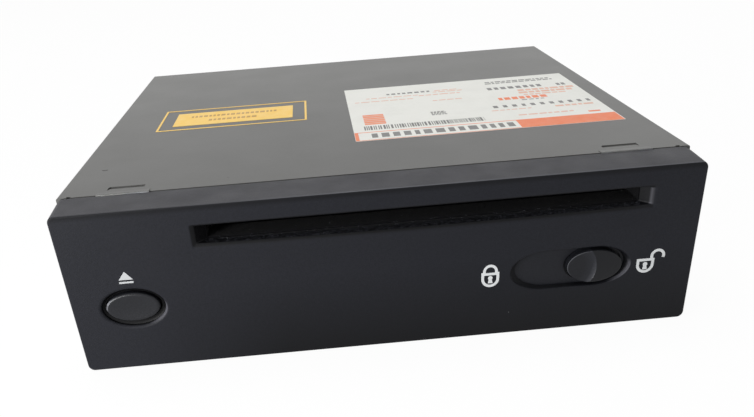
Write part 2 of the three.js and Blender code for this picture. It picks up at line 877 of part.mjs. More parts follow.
function screwProfile() {
  return [
    [0, -screwShankLength],
    [screwShankRadius, -screwShankLength],
    [screwShankRadius, fitGap],
    [screwHeadRadius, fitGap],
    [screwHeadRadius, fitGap + screwHeadHeight - screwHeadCrown],
    [screwHeadRadius - screwHeadCrown, fitGap + screwHeadHeight],
    [0, fitGap + screwHeadHeight],
  ];
}

function screw(name, turnZ, x, y, z) {
  const geometry = turned(screwProfile(), smallSides).rotateZ(turnZ).translate(x, y, z);
  add(name, solidOf(geometry), polishedSteel);
}

function caseScrews() {
  const side = bodyWidth / 2;
  screw('cover_screw_front_left', Math.PI / 2, -side, sideScrewFront, sideScrewZ);
  screw('cover_screw_rear_left', Math.PI / 2, -side, sideScrewRear, sideScrewZ);
  screw('cover_screw_front_right', -Math.PI / 2, side, sideScrewFront, sideScrewZ);
  screw('cover_screw_rear_right', -Math.PI / 2, side, sideScrewRear, sideScrewZ);
  screw('rear_screw_left', 0, -rearScrewX, bodyRear, rearScrewZ);
  screw('rear_screw_right', 0, rearScrewX, bodyRear, rearScrewZ);
}

// The felt strips that line the slot

const feltThickness = 0.5;
const feltBehindFlare = 0.4;
const feltShort = 1;

const feltFront = slotEndFlare + feltBehindFlare;
const feltRear = tunnelDepth - feltShort;

function felt(low) {
  return block({
    x: [slotLeft + fitGap, slotRight - fitGap],
    y: [feltFront, feltRear],
    z: [low, low + feltThickness],
  });
}

// The eject button, its switch and the board behind the face

const buttonCapDepth = 4.6;
const buttonRimRadius = 0.8;
const buttonFlange = 1.2;
const buttonFlangeThickness = 1;
const buttonStemRadius = 2;
const switchSide = 6.2;
const switchHeight = 3.4;
const plungerRadius = 1.7;
const plungerProud = 1;
const plungerDepth = 2.6;

const switchFront = boardFrontY - switchHeight;
const plungerFront = switchFront - plungerProud;

function ejectButton() {
  const outline = (grow) => longEllipse(
    buttonX,
    buttonX,
    buttonZ,
    buttonWidth / 2 + grow,
    buttonHeight / 2 + grow,
  );
  const flangeFront = buttonCollarDepth + fitGap;
  const capRear = flangeFront + buttonFlangeThickness;
  const rings = [];
  for (let step = 0; step <= cornerSteps; step += 1) {
    const turn = (Math.PI / 2) * (step / cornerSteps);
    rings.push(ringAt(
      buttonRimRadius * (1 - Math.cos(turn)),
      outline(-buttonRimRadius * (1 - Math.sin(turn))),
    ));
  }
  rings.push(ringAt(capRear, outline(0)));
  const cap = lofted(rings);
  const flange = lofted([ringAt(flangeFront, outline(buttonFlange)), ringAt(capRear, outline(buttonFlange))]);
  const hollow = lofted([
    ringAt(capRear - buttonCapDepth, outline(-buttonCollarWall)),
    ringAt(capRear + overrun, outline(-buttonCollarWall)),
  ]);
  const stem = barY(buttonStemRadius, buttonX, [capRear - buttonCapDepth - fitGap, plungerFront], buttonZ);
  return join(cut(join(cap, flange), hollow), stem);
}

function ejectSwitch() {
  const housing = block({
    x: span(buttonX, switchSide),
    y: [switchFront, boardFrontY],
    z: span(buttonZ, switchSide),
  });
  const wellSpan = [switchFront - overrun, switchFront + plungerDepth];
  const well = barY(plungerRadius + fitGap, buttonX, wellSpan, buttonZ);
  return cut(housing, well);
}

function ejectPlunger() {
  const reach = plungerDepth - buttonTravel - fitGap;
  return barY(plungerRadius, buttonX, [plungerFront, switchFront + reach], buttonZ);
}

const frontBoardInset = 6;
const frontChipLeftOfDisc = 31.8;
const frontChipSide = 9;
const frontChipHeight = 1.2;
const lampFromButton = 28.7;
const lampSide = 3;

const frontBoardHalf = faceWidth / 2 - frontBoardInset;
const frontChipX = discCentreX - frontChipLeftOfDisc;
const lampX = buttonX + lampFromButton;

function frontBoard() {
  const board = block({
    x: [-frontBoardHalf, frontBoardHalf],
    y: [boardFrontY, boardFrontY + boardThickness],
    z: [frontBoardBottom, frontBoardTop],
  });
  const holes = [];
  for (const x of [stakeLeft, stakeRight]) {
    for (const z of [stakeLow, stakeHigh]) {
      holes.push(barY(stakeRadius + fitGap, x, [boardFrontY - overrun, boardFrontY + overrun], z));
    }
  }
  const onFront = (x, side) => block({
    x: span(x, side),
    y: [boardFrontY - frontChipHeight, boardFrontY + boardThickness / 2],
    z: span(buttonZ, side),
  });
  return join(cut(board, holes), onFront(frontChipX, frontChipSide), onFront(lampX, lampSide));
}

// The lock slider: knob, plate behind the face, and the switch that it moves

const knobRim = 0.7;
const dishRadius = 15;
const dishDepth = 0.9;
const dishOffset = 4.2;
const ridgeOffset = 1;
const ridgeArcRadius = 9;
const ridgeHalfDegrees = 27.7;
const ridgeHalfTurn = THREE.MathUtils.degToRad(ridgeHalfDegrees);
const ridgeWidth = 1;
const stemWidth = 8;
const stemHeight = 4.4;
const stemNose = 0.5;
const leverOffset = -8;
const leverWidth = 2;
const leverHeight = 3;
const forkWall = 1.6;
const forkReach = 3.3;
const lockSwitchDepth = 4;
const lockSwitchHeight = 7;
const lockSwitchMargin = 3;
const lockLeverProud = 1.4;
const lockLeverSunk = 2;
const lockWellGap = 0.4;

const knobBack = knobRecessDepth - fitGap;
const knobFront = -knobProud + ridgeProud;
const leverX = knobX + leverOffset;
const lockSwitchFront = boardFrontY - lockSwitchDepth;
const lockLeverFront = lockSwitchFront - lockLeverProud;
const lockLeverRear = lockSwitchFront + lockLeverSunk;
const lockWellRear = lockLeverRear + lockWellGap;

function lockKnob() {
  const outline = (grow) => longEllipse(knobX, knobX, knobZ, knobWidth / 2 + grow, knobHeight / 2 + grow);
  const rings = [];
  for (let step = 0; step <= cornerSteps; step += 1) {
    const turn = (Math.PI / 2) * (step / cornerSteps);
    rings.push(ringAt(knobFront + knobRim * (1 - Math.cos(turn)), outline(-knobRim * (1 - Math.sin(turn)))));
  }
  rings.push(ringAt(knobBack, outline(0)));
  const dishBall = new THREE.SphereGeometry(dishRadius, largeSides, roundSides);
  dishBall.translate(knobX - dishOffset, knobFront + dishDepth - dishRadius, knobZ);
  const arc = new THREE.Shape();
  const arcX = knobX + ridgeOffset - ridgeArcRadius;
  arc.absarc(arcX, knobZ, ridgeArcRadius + ridgeWidth / 2, -ridgeHalfTurn, ridgeHalfTurn, false);
  arc.absarc(arcX, knobZ, ridgeArcRadius - ridgeWidth / 2, ridgeHalfTurn, -ridgeHalfTurn, true);
  const ridge = plateY(arc, [-knobProud, knobFront + dishDepth]);
  const stem = block({
    x: span(knobX, stemWidth),
    y: [knobBack - stemNose, lockPlateRear + stemNose],
    z: span(knobZ, stemHeight),
  });
  return join(cut(lofted(rings), solidOf(dishBall)), ridge, stem);
}

function lockPlate() {
  const plate = block({
    x: [lockPlateLeft, lockPlateRight],
    y: [lockPlateFront, lockPlateRear],
    z: span(knobZ, 2 * lockPlateHalfHeight),
  });
  const forkRear = lockPlateRear + forkReach;
  const fork = block({
    x: span(leverX, leverWidth + 2 * (fitGap + forkWall)),
    y: [lockPlateFront, forkRear],
    z: span(knobZ, leverHeight + 2 * (fitGap + forkWall)),
  });
  const stemHole = block({
    x: span(knobX, stemWidth + 2 * fitGap),
    y: [lockPlateFront - overrun, lockPlateRear + overrun],
    z: span(knobZ, stemHeight + 2 * fitGap),
  });
  const leverHole = block({
    x: span(leverX, leverWidth + 2 * fitGap),
    y: [lockLeverFront - fitGap, forkRear + overrun],
    z: span(knobZ, leverHeight + 2 * fitGap),
  });
  return cut(join(plate, fork), stemHole, leverHole);
}

function lockSwitch() {
  const leftX = leverX - knobTravel - leverWidth / 2 - fitGap;
  const rightX = leverX + leverWidth / 2 + fitGap;
  const housing = block({
    x: [leftX - lockSwitchMargin, rightX + lockSwitchMargin],
    y: [lockSwitchFront, boardFrontY],
    z: span(knobZ, lockSwitchHeight),
  });
  const well = block({
    x: [leftX, rightX],
    y: [lockSwitchFront - overrun, lockWellRear],
    z: span(knobZ, leverHeight + 2 * fitGap),
  });
  return cut(housing, well);
}

function lockLever() {
  return block({
    x: span(leverX, leverWidth),
    y: [lockLeverFront, lockLeverRear],
    z: span(knobZ, leverHeight),
  });
}

// The main board and the flat cable from the front board

const headerRightOfDisc = 8.2;
const headerWidth = 16;
const headerHeight = 3;
const headerDepth = 4;
const cableTop = 14;
const processorRightOfDisc = 22.2;
const processorToRear = 27.1;
const processorSide = 27;
const processorHeight = 2.6;
const memoryRightOfDisc = 50.2;
const memoryPitch = 14;
const memoryLength = 18;
const memoryWidth = 9;
const memoryHeight = 1.4;
const driverLeftOfDisc = 9.8;
const driverSide = 12;
const coilLeftOfDisc = 19.8;
const coilSide = 10;
const coilHeight = 5;
const capacitorRadius = 4;
const capacitorHeight = 8;
const capacitorInset = 14;
const capacitorPitch = 11;
const capacitorCount = 3;
const powerRowBehindFront = 36;
const legNotchGap = 1;
const cableWidth = 14;
const cableThickness = 0.3;
const cableFloorGap = 1.9;

const headerX = discCentreX + headerRightOfDisc;
const processorX = discCentreX + processorRightOfDisc;
const processorY = mainBoardRear - processorToRear;
const memoryX = discCentreX + memoryRightOfDisc;
const driverX = discCentreX - driverLeftOfDisc;
const coilX = discCentreX - coilLeftOfDisc;
const capacitorX = capacitorInset - boardHalfWidth;
const powerRowY = mainBoardFront + powerRowBehindFront;

// The steel frame of the loader: distances out from the throat's ends, back from the roller and the
// disc's rear edge, and up or down from the disc
const deckDrop = 16.9;
const deckSheet = 1;
const deckAheadOfRoller = 3;
const deckBehindDisc = 6;
const deckOut = 3.55;
const frameLeftOut = 7.55;
const frameRightOut = 3.95;
const wallRise = 0.6;
const rearWallDrop = 0.9;
const gearWallAhead = 5;
const gearWallReach = 43;
const gearWallStepReach = 33.4;
const stripWidth = 4;
const stripRearReach = 34;
const legWidth = 10;
const footDepth = 8;
const lugWidth = 1.2;
const lugDepth = 7;
const lugRise = 2.6;
const hingePinRadius = 1.2;
const hingeLeftOfDisc = 47.8;
const hingeRightOfDisc = 49.2;
const hingePinReach = 2.4;
const pillarRadius = 2;
const pillarReaches = [39.5, 8, 29];
const pillarRises = [0.1, -11.4, 18.1];
const gearPlateOut = 19.05;
const gearPlateSheet = 1;
const wheelGap = 0.4;
const thinWheel = 2.5;
const thickWheel = 2.8;
const boreGap = 0.3;
const sliderSheet = 1;
const sliderOut = 5.55;
const guideStudRadius = 1;
const guideStudToRear = 17.5;
const guideStudDrop = 7.3;
const armSheet = 1;
const armLeftOut = 3.95;
const armRightOut = 1.35;
const triggerPivotIn = 7.05;
const triggerPivotToRear = 12;
const triggerAxleRadius = 1.5;
const triggerSheet = 1;
const triggerLift = 0.7;

const deckBottom = discPathZ - deckDrop;
const deckFront = rollerY - deckAheadOfRoller;
const deckRear = discCentreY + discRadius + deckBehindDisc;
const deckLeft = slotLeft - deckOut;
const frameLeft = slotLeft - frameLeftOut;
const frameRight = slotRight + frameRightOut;
const wallTop = discPathZ + wallRise;
const rearWallTop = discPathZ - rearWallDrop;
const gearWallFront = rollerY + gearWallAhead;
const gearWallRear = rollerY + gearWallReach;
const gearWallStep = rollerY + gearWallStepReach;
const stripFrontEnd = gearWallFront + stripWidth;
const stripRearStart = rollerY + stripRearReach;
const hingeLeft = discCentreX - hingeLeftOfDisc;
const hingeRight = discCentreX + hingeRightOfDisc;
const gearPlateInner = slotLeft - gearPlateOut;
const pillarPlaces = pillarReaches.map((reach, i) => [rollerY + reach, reductionZ + pillarRises[i]]);
const sliderLeft = slotLeft - sliderOut;
const guideStudY = deckRear - guideStudToRear;
const guideStudZ = discPathZ - guideStudDrop;
const armLeft = slotLeft - armLeftOut;
const armRight = slotRight + armRightOut;
const triggerPivotX = slotRight - triggerPivotIn;
const triggerPivotY = deckRear - triggerPivotToRear;

// The traverse lies between the gear wall and the side wall behind it
const traverseDrop = 9.9;
const traverseSheet = 1.2;
const traverseBehindGears = 1.1;
const railWidth = 8.5;
const rodInset = 4;
const screwBehindRail = 1.5;
const rodBlockDepth = 6;
const sideWallGap = 1;
const earLength = 13.5;
const damperInset = 4.5;
const damperLeftIn = 20.8;
const damperRightOfDisc = 27.2;
const traverseGearGap = 0.5;
const deckWindowInset = 2.5;
const deckWindowBehindScrew = 10;
const deckWindowRightOfDamper = 7.2;
const deckWindowLeftOfDamper = 9;

const traverseBottom = discPathZ - traverseDrop;
const traverseLeft = gearPlateInner + traverseGearGap;
const railOuter = discCentreY - gearWallStep - traverseBehindGears;
const railInner = railOuter - railWidth;
const rodReachY = railOuter - rodInset;
const earReach = railOuter + earLength;
const damperReachY = earReach - damperInset;
const screwY = discCentreY + railOuter + screwBehindRail;
const sideWallRearStart = screwY + rodBlockDepth / 2 + sideWallGap;
const damperLeftX = traverseLeft + damperLeftIn;
const damperRightX = discCentreX + damperRightOfDisc;
const deckWindowLeft = damperLeftX + deckWindowRightOfDamper;
const deckWindowRight = damperRightX - deckWindowLeftOfDamper;
const deckWindowFront = discCentreY - railOuter + deckWindowInset;
const deckWindowRear = screwY + deckWindowBehindScrew;

const wallInner = frameLeft + deckSheet;
const boreRadius = axleRadius + boreGap;
const idlerRight = frameLeft - wheelGap;
const idlerLeft = idlerRight - thinWheel;
const clutchRight = idlerLeft - wheelGap;
const clutchLeft = clutchRight - thickWheel;
const reductionRight = clutchLeft - wheelGap;
const reductionLeft = reductionRight - thickWheel;
const axleEnd = gearPlateInner + fitGap;
const armInner = armLeft + armSheet;
const triggerTop = discTopside + triggerLift + triggerSheet;

function mainBoard() {
  const board = block({
    x: [-boardHalfWidth, boardHalfWidth],
    y: [mainBoardFront, mainBoardRear],
    z: [mainBoardBottom, mainBoardTop],
  });
  const legNotches = [[frameLeft, frameLeft + legWidth], [frameRight - legWidth, frameRight]].map((x) => block({
    x: [x[0] - legNotchGap, x[1] + legNotchGap],
    y: [deckRear - footDepth - legNotchGap, deckRear + legNotchGap],
    z: [0, mainBoardTop + overrun],
  }));
  const sunk = mainBoardTop - boardThickness / 2;
  const part = (x, y, width, depth, height) => block({
    x: span(x, width),
    y: span(y, depth),
    z: [sunk, mainBoardTop + height],
  });
  const memories = [-1, 1].map((side) => part(
    memoryX,
    processorY + side * memoryPitch / 2,
    memoryLength,
    memoryWidth,
    memoryHeight,
  ));
  const capacitors = [];
  for (let i = 0; i < capacitorCount; i += 1) {
    const y = powerRowY + i * capacitorPitch;
    capacitors.push(barZ(capacitorRadius, capacitorX, y, [sunk, mainBoardTop + capacitorHeight]));
  }
  const header = part(headerX, mainBoardFront + headerDepth, headerWidth, headerDepth, headerHeight);
  const driver = part(driverX, processorY, driverSide, driverSide, memoryHeight);
  const coil = part(coilX, powerRowY, coilSide, coilSide, coilHeight);
  return join(cut(board, legNotches), memories, capacitors, header, driver, coil);
}

function mainProcessor() {
  return block({
    x: span(processorX, processorSide),
    y: span(processorY, processorSide),
    z: [mainBoardTop, mainBoardTop + processorHeight],
  });
}

// The cable hangs from the front board's back, runs along the floor and climbs to the main board's header
function flatCable() {
  const back = boardFrontY + boardThickness + fitGap;
  const low = caseSheet + cableFloorGap;
  const headerFront = mainBoardFront + headerDepth / 2 - fitGap;
  const climb = headerFront - headerDepth;
  const route = [
    [back, cableTop],
    [back, low],
    [climb, low],
    [climb, mainBoardTop + headerHeight / 2],
    [headerFront, mainBoardTop + headerHeight / 2],
  ];
  const bend = cableThickness;
  const outer = [
    route[0],
    route[1],
    route[2],
    route[3],
    route[4],
    [headerFront, route[4][1] - bend],
    [climb + bend, route[3][1] - bend],
    [climb + bend, low - bend],
    [back - bend, low - bend],
    [back - bend, cableTop],
  ];
  return plateX(shapeOf(outer.reverse()), span(headerX, cableWidth));
}

function mechFrame() {
  const sheet = [deckBottom, deckBottom + deckSheet];
  const deck = block({ x: [deckLeft, frameRight], y: [deckFront, deckRear], z: sheet });
  const strips = [
    [gearWallFront, stripFrontEnd],
    [stripRearStart, gearWallRear],
    [sideWallRearStart, deckRear],
  ];
  const bridges = strips.map((y) => block({ x: [frameLeft, deckLeft + deckSheet], y, z: sheet }));
  const deckWindow = block({
    x: [deckWindowLeft, deckWindowRight],
    y: [deckWindowFront, deckWindowRear],
    z: [deckBottom - overrun, deckBottom + deckSheet + overrun],
  });
  const leftWall = [frameLeft, wallInner];
  const rightWall = [frameRight - deckSheet, frameRight];
  const walls = [
    block({ x: leftWall, y: [gearWallFront, gearWallStep], z: [caseSheet, wallTop] }),
    block({ x: leftWall, y: [gearWallFront, gearWallRear], z: [caseSheet, deckBottom + deckSheet] }),
    block({ x: leftWall, y: [sideWallRearStart, deckRear], z: [deckBottom, wallTop] }),
    block({ x: rightWall, y: [deckFront, deckRear], z: [deckBottom, wallTop] }),
    block({ x: [frameLeft, frameRight], y: [deckRear - deckSheet, deckRear], z: [deckBottom, rearWallTop] }),
  ];
  const legs = [];
  for (const x of [[frameLeft, frameLeft + legWidth], [frameRight - legWidth, frameRight]]) {
    legs.push(block({ x, y: [deckRear - deckSheet, deckRear], z: [caseSheet, deckBottom + deckSheet] }));
    legs.push(block({ x, y: [deckRear - footDepth, deckRear], z: [caseSheet, caseSheet + deckSheet] }));
  }
  const frontLeg = [frameRight - legWidth, frameRight];
  legs.push(block({ x: frontLeg, y: [deckFront, deckFront + deckSheet], z: [caseSheet, deckBottom + deckSheet] }));
  legs.push(block({ x: frontLeg, y: [deckFront, deckFront + footDepth], z: [caseSheet, caseSheet + deckSheet] }));
  legs.push(block({
    x: [frameLeft, frameLeft + legWidth],
    y: [gearWallFront, gearWallFront + footDepth],
    z: [caseSheet, caseSheet + deckSheet],
  }));
  const lugs = [hingeLeft, hingeRight - lugWidth].map((x) => block({
    x: [x, x + lugWidth],
    y: [deckRear - lugDepth, deckRear],
    z: [rearWallTop - lugRise, clampHingeZ + lugRise],
  }));
  const hingePins = [
    barX(hingePinRadius, [hingeLeft + lugWidth / 2, hingeLeft + lugWidth + hingePinReach], clampHingeY, clampHingeZ),
    barX(
      hingePinRadius,
      [hingeRight - lugWidth - hingePinReach, hingeRight - lugWidth / 2],
      clampHingeY,
      clampHingeZ,
    ),
  ];
  const axles = [
    barX(axleRadius, [axleEnd, armInner + fitGap], pivotY, pivotZ),
    barX(axleRadius, [axleEnd, sliderLeft + sliderSheet + fitGap], reductionY, reductionZ),
    barX(axleRadius, [armRight - fitGap, frameRight - deckSheet / 2], pivotY, pivotZ),
    barX(guideStudRadius, [wallInner - deckSheet / 2, sliderLeft + sliderSheet + fitGap], guideStudY, guideStudZ),
    barZ(triggerAxleRadius, triggerPivotX, triggerPivotY, [deckBottom, triggerTop], smallSides),
  ];
  const pillarSpan = [gearPlateInner, frameLeft + deckSheet / 2];
  const pillars = pillarPlaces.map(([y, z]) => barX(pillarRadius, pillarSpan, y, z));
  return join(cut(deck, deckWindow), bridges, walls, legs, lugs, hingePins, axles, pillars);
}

// The plate that carries the loading motor and the outer ends of the gear axles

const gearPlateLength = 40;
const gearPlateDrop = 13.8;
const gearPlateRise = 1.1;
const gearPlateCorner = 5;
const motorBossRadius = 3.4;

const gearPlateFront = gearWallFront;
const gearPlateRear = gearPlateFront + gearPlateLength;
const gearPlateBottom = reductionZ - gearPlateDrop;
const gearPlateTop = discPathZ + gearPlateRise;

function gearPlate() {
  const [front, rear] = [gearPlateFront, gearPlateRear];
  const [bottom, top] = [gearPlateBottom, gearPlateTop];
  const outline = shapeOf([
    [front, bottom],
    [rear, bottom],
    [rear, pillarPlaces[0][1] + gearPlateCorner],
    [rear - gearPlateCorner, pillarPlaces[0][1] + 2 * gearPlateCorner],
    [pillarPlaces[2][0] + gearPlateCorner, top],
    [front, top],
  ]);
  const plate = plateX(outline, [gearPlateInner - gearPlateSheet, gearPlateInner]);
  const motorHole = barX(
    motorBossRadius + fitGap,
    [gearPlateInner - overrun, gearPlateInner + overrun],
    motorY,
    motorZ,
    roundSides,
  );
  return cut(plate, motorHole);
}

// The upper guide that the roller presses the disc against

const guideThickness = 1.6;
const guideToSeam = 0.85;
const guideLength = 20;
const guideRibCount = 5;
const guideRibWidth = 1.2;
const guideRibHeight = 2.6;

const guideFront = bodyFront + guideToSeam;
const guideRear = guideFront + guideLength;

function discGuide() {
  const bottom = wallTop + fitGap;
  const skin = [bottom, bottom + guideThickness];
  const plate = block({ x: [frameLeft, frameRight], y: [guideFront, guideRear], z: skin });
  const ribs = [];
  const depth = guideRear - guideFront - guideRibWidth;
  for (let i = 0; i < guideRibCount; i += 1) {
    const y = guideFront + guideRibWidth / 2 + (depth * i) / (guideRibCount - 1);
    ribs.push(block({
      x: [slotLeft, slotRight],
      y: span(y, guideRibWidth),
      z: [skin[0] + guideThickness / 2, skin[1] + guideRibHeight],
    }));
  }
  return join(plate, ribs);
}

// The loading motor and its pinion

const motorRadius = 8;
const motorFlatHalf = 6.6;
const motorSideGap = 1.6;
const motorShaftRadius = 1;
const motorShaftReach = 6;
const motorTailRadius = 3;
const motorTail = 1.2;

const motorFace = gearPlateInner - gearPlateSheet - fitGap;
const motorLength = motorFace + bodyWidth / 2 - caseSheet - motorTail - motorSideGap;
const pinionLeft = reductionLeft - fitGap;

function loadingMotor() {
  const bore = motorShaftRadius + boreGap;
  const body = turnedX([
    [bore, motorFace - motorShaftReach - fitGap],
    [bore, motorFace + gearPlateSheet],
    [motorBossRadius, motorFace + gearPlateSheet],
    [motorBossRadius, motorFace],
    [motorRadius, motorFace],
    [motorRadius, motorFace - motorLength],
    [motorTailRadius, motorFace - motorLength],
    [motorTailRadius, motorFace - motorLength - motorTail],
    [0, motorFace - motorLength - motorTail],
    [0, motorFace - motorShaftReach - fitGap],
    [bore, motorFace - motorShaftReach - fitGap],
  ].reverse(), motorY, motorZ);
  const flats = block({
    x: [motorFace - motorLength - overrun, gearPlateInner + overrun],
    y: span(motorY, 2 * (motorRadius + overrun)),
    z: span(motorZ, 2 * motorFlatHalf),
  });
  return body.intersect(flats);
}

function motorPinion(phase) {
  const wheel = gearX(motorTeeth, phase, motorY, motorZ, [pinionLeft, reductionRight]);
  return join(wheel, barX(motorShaftRadius, [motorFace - motorShaftReach, reductionLeft], motorY, motorZ));
}

// The gear train: each phase follows from the one before, along the line of centres

const lineTo = ([y0, z0], [y1, z1]) => Math.atan2(z1 - z0, y1 - y0);
const pivotPlace = [pivotY, pivotZ];
const reductionPlace = [reductionY, reductionZ];
const motorPlace = [motorY, motorZ];
const rollerPlace = [rollerY, rollerZ];
const clutchPhase = 0;
const stepDownPhase = meshPhase(clutchPhase, clutchTeeth, stepDownTeeth, lineTo(pivotPlace, reductionPlace));
const reductionPhase = 0;
const motorPhase = meshPhase(reductionPhase, reductionTeeth, motorTeeth, lineTo(reductionPlace, motorPlace));
const idlerPhase = 0;
const rollerPhase = meshPhase(idlerPhase, idlerTeeth, rollerTeeth, lineTo(pivotPlace, rollerPlace));
const modePhase = 0;

const hubRadius = 3.2;
const webCut = 0.7;
const rimShare = 3;

function reductionGear() {
  const wheel = gearX(reductionTeeth, reductionPhase, ...reductionPlace, [reductionLeft, reductionRight]);
  const step = gearX(stepDownTeeth, stepDownPhase, ...reductionPlace, [reductionRight - webCut, clutchRight]);
  const bore = barX(boreRadius, [gearPlateInner, wallInner], ...reductionPlace);
  return cut(join(wheel, step), bore);
}

function wheelWithHub(teeth, phase, place, x) {
  const rim = pitchRadius(teeth) - rimShare * gearModule;
  const wheel = gearX(teeth, phase, ...place, x, boreRadius);
  const groove = cut(
    barX(rim, [x[0] - overrun, x[0] + webCut], ...place, roundSides),
    barX(hubRadius, [x[0] - 2 * overrun, x[0] + 2 * webCut], ...place),
  );
  return cut(wheel, groove);
}

// The feed roller on its shaft

const shaftRadius = 1.5;
const shaftLeftReach = 0.6;
const shaftRightGap = 0.3;
const rollerProfileSteps = 6;

function feedRoller() {
  const [left, right] = span(discCentreX, rollerLength);
  const bore = shaftRadius + boreGap;
  const points = [[bore, left]];
  for (let i = 0; i <= rollerProfileSteps; i += 1) {
    const share = i / rollerProfileSteps;
    const fromMiddle = Math.abs(2 * share - 1);
    const radius = rollerWaistRadius + (rollerEndRadius - rollerWaistRadius) * fromMiddle;
    points.push([radius, left + (right - left) * share]);
  }
  points.push([bore, right], [bore, left]);
  return turnedX(points, ...rollerPlace, roundSides);
}

function feedShaft() {
  return barX(shaftRadius, [idlerLeft - shaftLeftReach, frameRight - deckSheet - shaftRightGap], ...rollerPlace);
}

// The bracket that carries the roller and swings on the idler's axle

const rollerEndBoss = 2.8;
const pivotBoss = 3.2;
const crankPinBoss = 2.8;
const camPinRadius = 1.2;
const bracketPinReach = 31;
const bracketPinDrop = 0.4;
const tieBehindRoller = 4.8;
const tieWidth = 6.2;
const tieDrop = 1.7;
const tieSheet = 1;
const camGap = 0.35;

const bracketPinY = rollerY + bracketPinReach;
const bracketPinZ = pivotZ - bracketPinDrop;
const tieFront = rollerY + tieBehindRoller;
const tieRear = tieFront + tieWidth;
const tieBottom = pivotZ - tieDrop;

function rollerBracket() {
  const bracketPin = [bracketPinY, bracketPinZ];
  const left = [armLeft, armInner];
  const right = [armRight, armRight + armSheet];
  const arms = [
    linkX([rollerPlace, pivotPlace], rollerEndBoss, left),
    linkX([pivotPlace, bracketPin], crankPinBoss, left),
    linkX([rollerPlace, pivotPlace], rollerEndBoss, right),
    barX(pivotBoss, left, ...pivotPlace, smallSides),
    barX(pivotBoss, right, ...pivotPlace, smallSides),
  ];
  const tie = block({
    x: [armLeft, armRight + armSheet],
    y: [tieFront, tieRear],
    z: [tieBottom, tieBottom + tieSheet],
  });
  const pin = barX(camPinRadius, [sliderLeft - camGap, armLeft + armSheet / 2], ...bracketPin);
  const through = [armLeft - overrun, frameRight];
  const holes = [
    barX(boreRadius, through, ...pivotPlace),
    barX(shaftRadius + boreGap, through, ...rollerPlace),
  ];
  return cut(join(arms, tie, pin), holes);
}

// The mode slider: a toothed plate whose slanted slots move the bracket and the clamp arm

const sliderBehindRoller = 16;
const sliderToRear = 4.5;
const sliderRise = 0.1;
const rackReach = 33.5;
const sliderWaistDrop = 6.3;
const sliderWaistDip = 0.7;
const sliderWaistToPin = 0.4;
const sliderHeelDrop = 9.7;
const clampPinToRear = 21;
const clampPinDrop = 2.6;
const camSteps = 3;

const sliderFront = rollerY + sliderBehindRoller;
const sliderRear = deckRear - sliderToRear;
const sliderTop = discPathZ + sliderRise;
const rackRear = rollerY + rackReach;
const sliderWaistBottom = discPathZ - sliderWaistDrop;
const sliderWaistTop = discPathZ - sliderWaistDip;
const sliderHeelBottom = discPathZ - sliderHeelDrop;
const clampPinY = deckRear - clampPinToRear;
const clampPinZ = discPathZ - clampPinDrop;
const sliderWaistEnd = clampPinY + sliderWaistToPin;
const rackPitchZ = reductionZ + pitchRadius(modeTeeth);
const rackRootZ = rackPitchZ + dedendumShare * gearModule;

// Where a pin that swings about a hinge stands in the moving slider
function camPath([pinY, pinZ], [hingeY, hingeZ], swing) {
  const path = [];
  const [reachY, reachZ] = [pinY - hingeY, pinZ - hingeZ];
  for (let i = 0; i <= camSteps; i += 1) {
    const share = i / camSteps;
    const turn = swing * share;
    const y = hingeY + reachY * Math.cos(turn) - reachZ * Math.sin(turn);
    const z = hingeZ + reachY * Math.sin(turn) + reachZ * Math.cos(turn);
    path.push([y + modeTravel * share, z]);
  }
  return path;
}

function rackToothPoints() {
  const pitch = Math.PI * gearModule;
  const contact = (modePhase - Math.PI / 2) * pitchRadius(modeTeeth);
  const firstGap = reductionY - ((contact % pitch) + pitch) % pitch;
  const firstTooth = firstGap + pitch / 2;
  const halfTooth = (pitch - toothBacklash) / 4;
  const tipWidthShare = 0.5;
  const rootWidthShare = 1.45;
  const tipZ = rackPitchZ - addendumShare * gearModule;
  const points = [];
  for (let i = 0; i < rackTeeth; i += 1) {
    const y = firstTooth + i * pitch;
    points.push([y - rootWidthShare * halfTooth, rackRootZ]);
    points.push([y - tipWidthShare * halfTooth, tipZ]);
    points.push([y + tipWidthShare * halfTooth, tipZ]);
    points.push([y + rootWidthShare * halfTooth, rackRootZ]);
  }
  return points;
}

function modeSlider() {
  const outline = shapeOf([
    [sliderFront, rackRootZ],
    ...rackToothPoints(),
    [rackRear, rackRootZ],
    [rackRear + sliderSheet, sliderWaistBottom],
    [sliderWaistEnd, sliderWaistBottom],
    [sliderWaistEnd + sliderSheet, sliderHeelBottom],
    [sliderRear, sliderHeelBottom],
    [sliderRear, sliderTop],
    [sliderWaistEnd - modeTravel, sliderTop],
    [sliderWaistEnd - modeTravel - sliderSheet, sliderWaistTop],
    [gearWallRear + sliderSheet, sliderWaistTop],
    [gearWallRear, sliderTop],
    [sliderFront, sliderTop],
  ]);
  const plate = plateX(outline, [sliderLeft, sliderLeft + sliderSheet]);
  const through = [sliderLeft - overrun, sliderLeft + sliderSheet + overrun];
  const notch = linkX([[sliderFront - overrun, pivotZ], [pivotY + modeTravel, pivotZ]], axleRadius + camGap, through);
  const studSlot = linkX(
    [[guideStudY, guideStudZ], [guideStudY + modeTravel, guideStudZ]],
    guideStudRadius + camGap,
    through,
  );
  const bracketCam = linkX(
    camPath([bracketPinY, bracketPinZ], pivotPlace, bracketSwing),
    camPinRadius + camGap,
    through,
  );
  const clampCam = linkX(
    camPath([clampPinY, clampPinZ], [clampHingeY, clampHingeZ], clampSwing),
    camPinRadius + camGap,
    through,
  );
  return cut(plate, notch, studSlot, bracketCam, clampCam);
}

// The clamp arm and the clamper that it presses on the disc

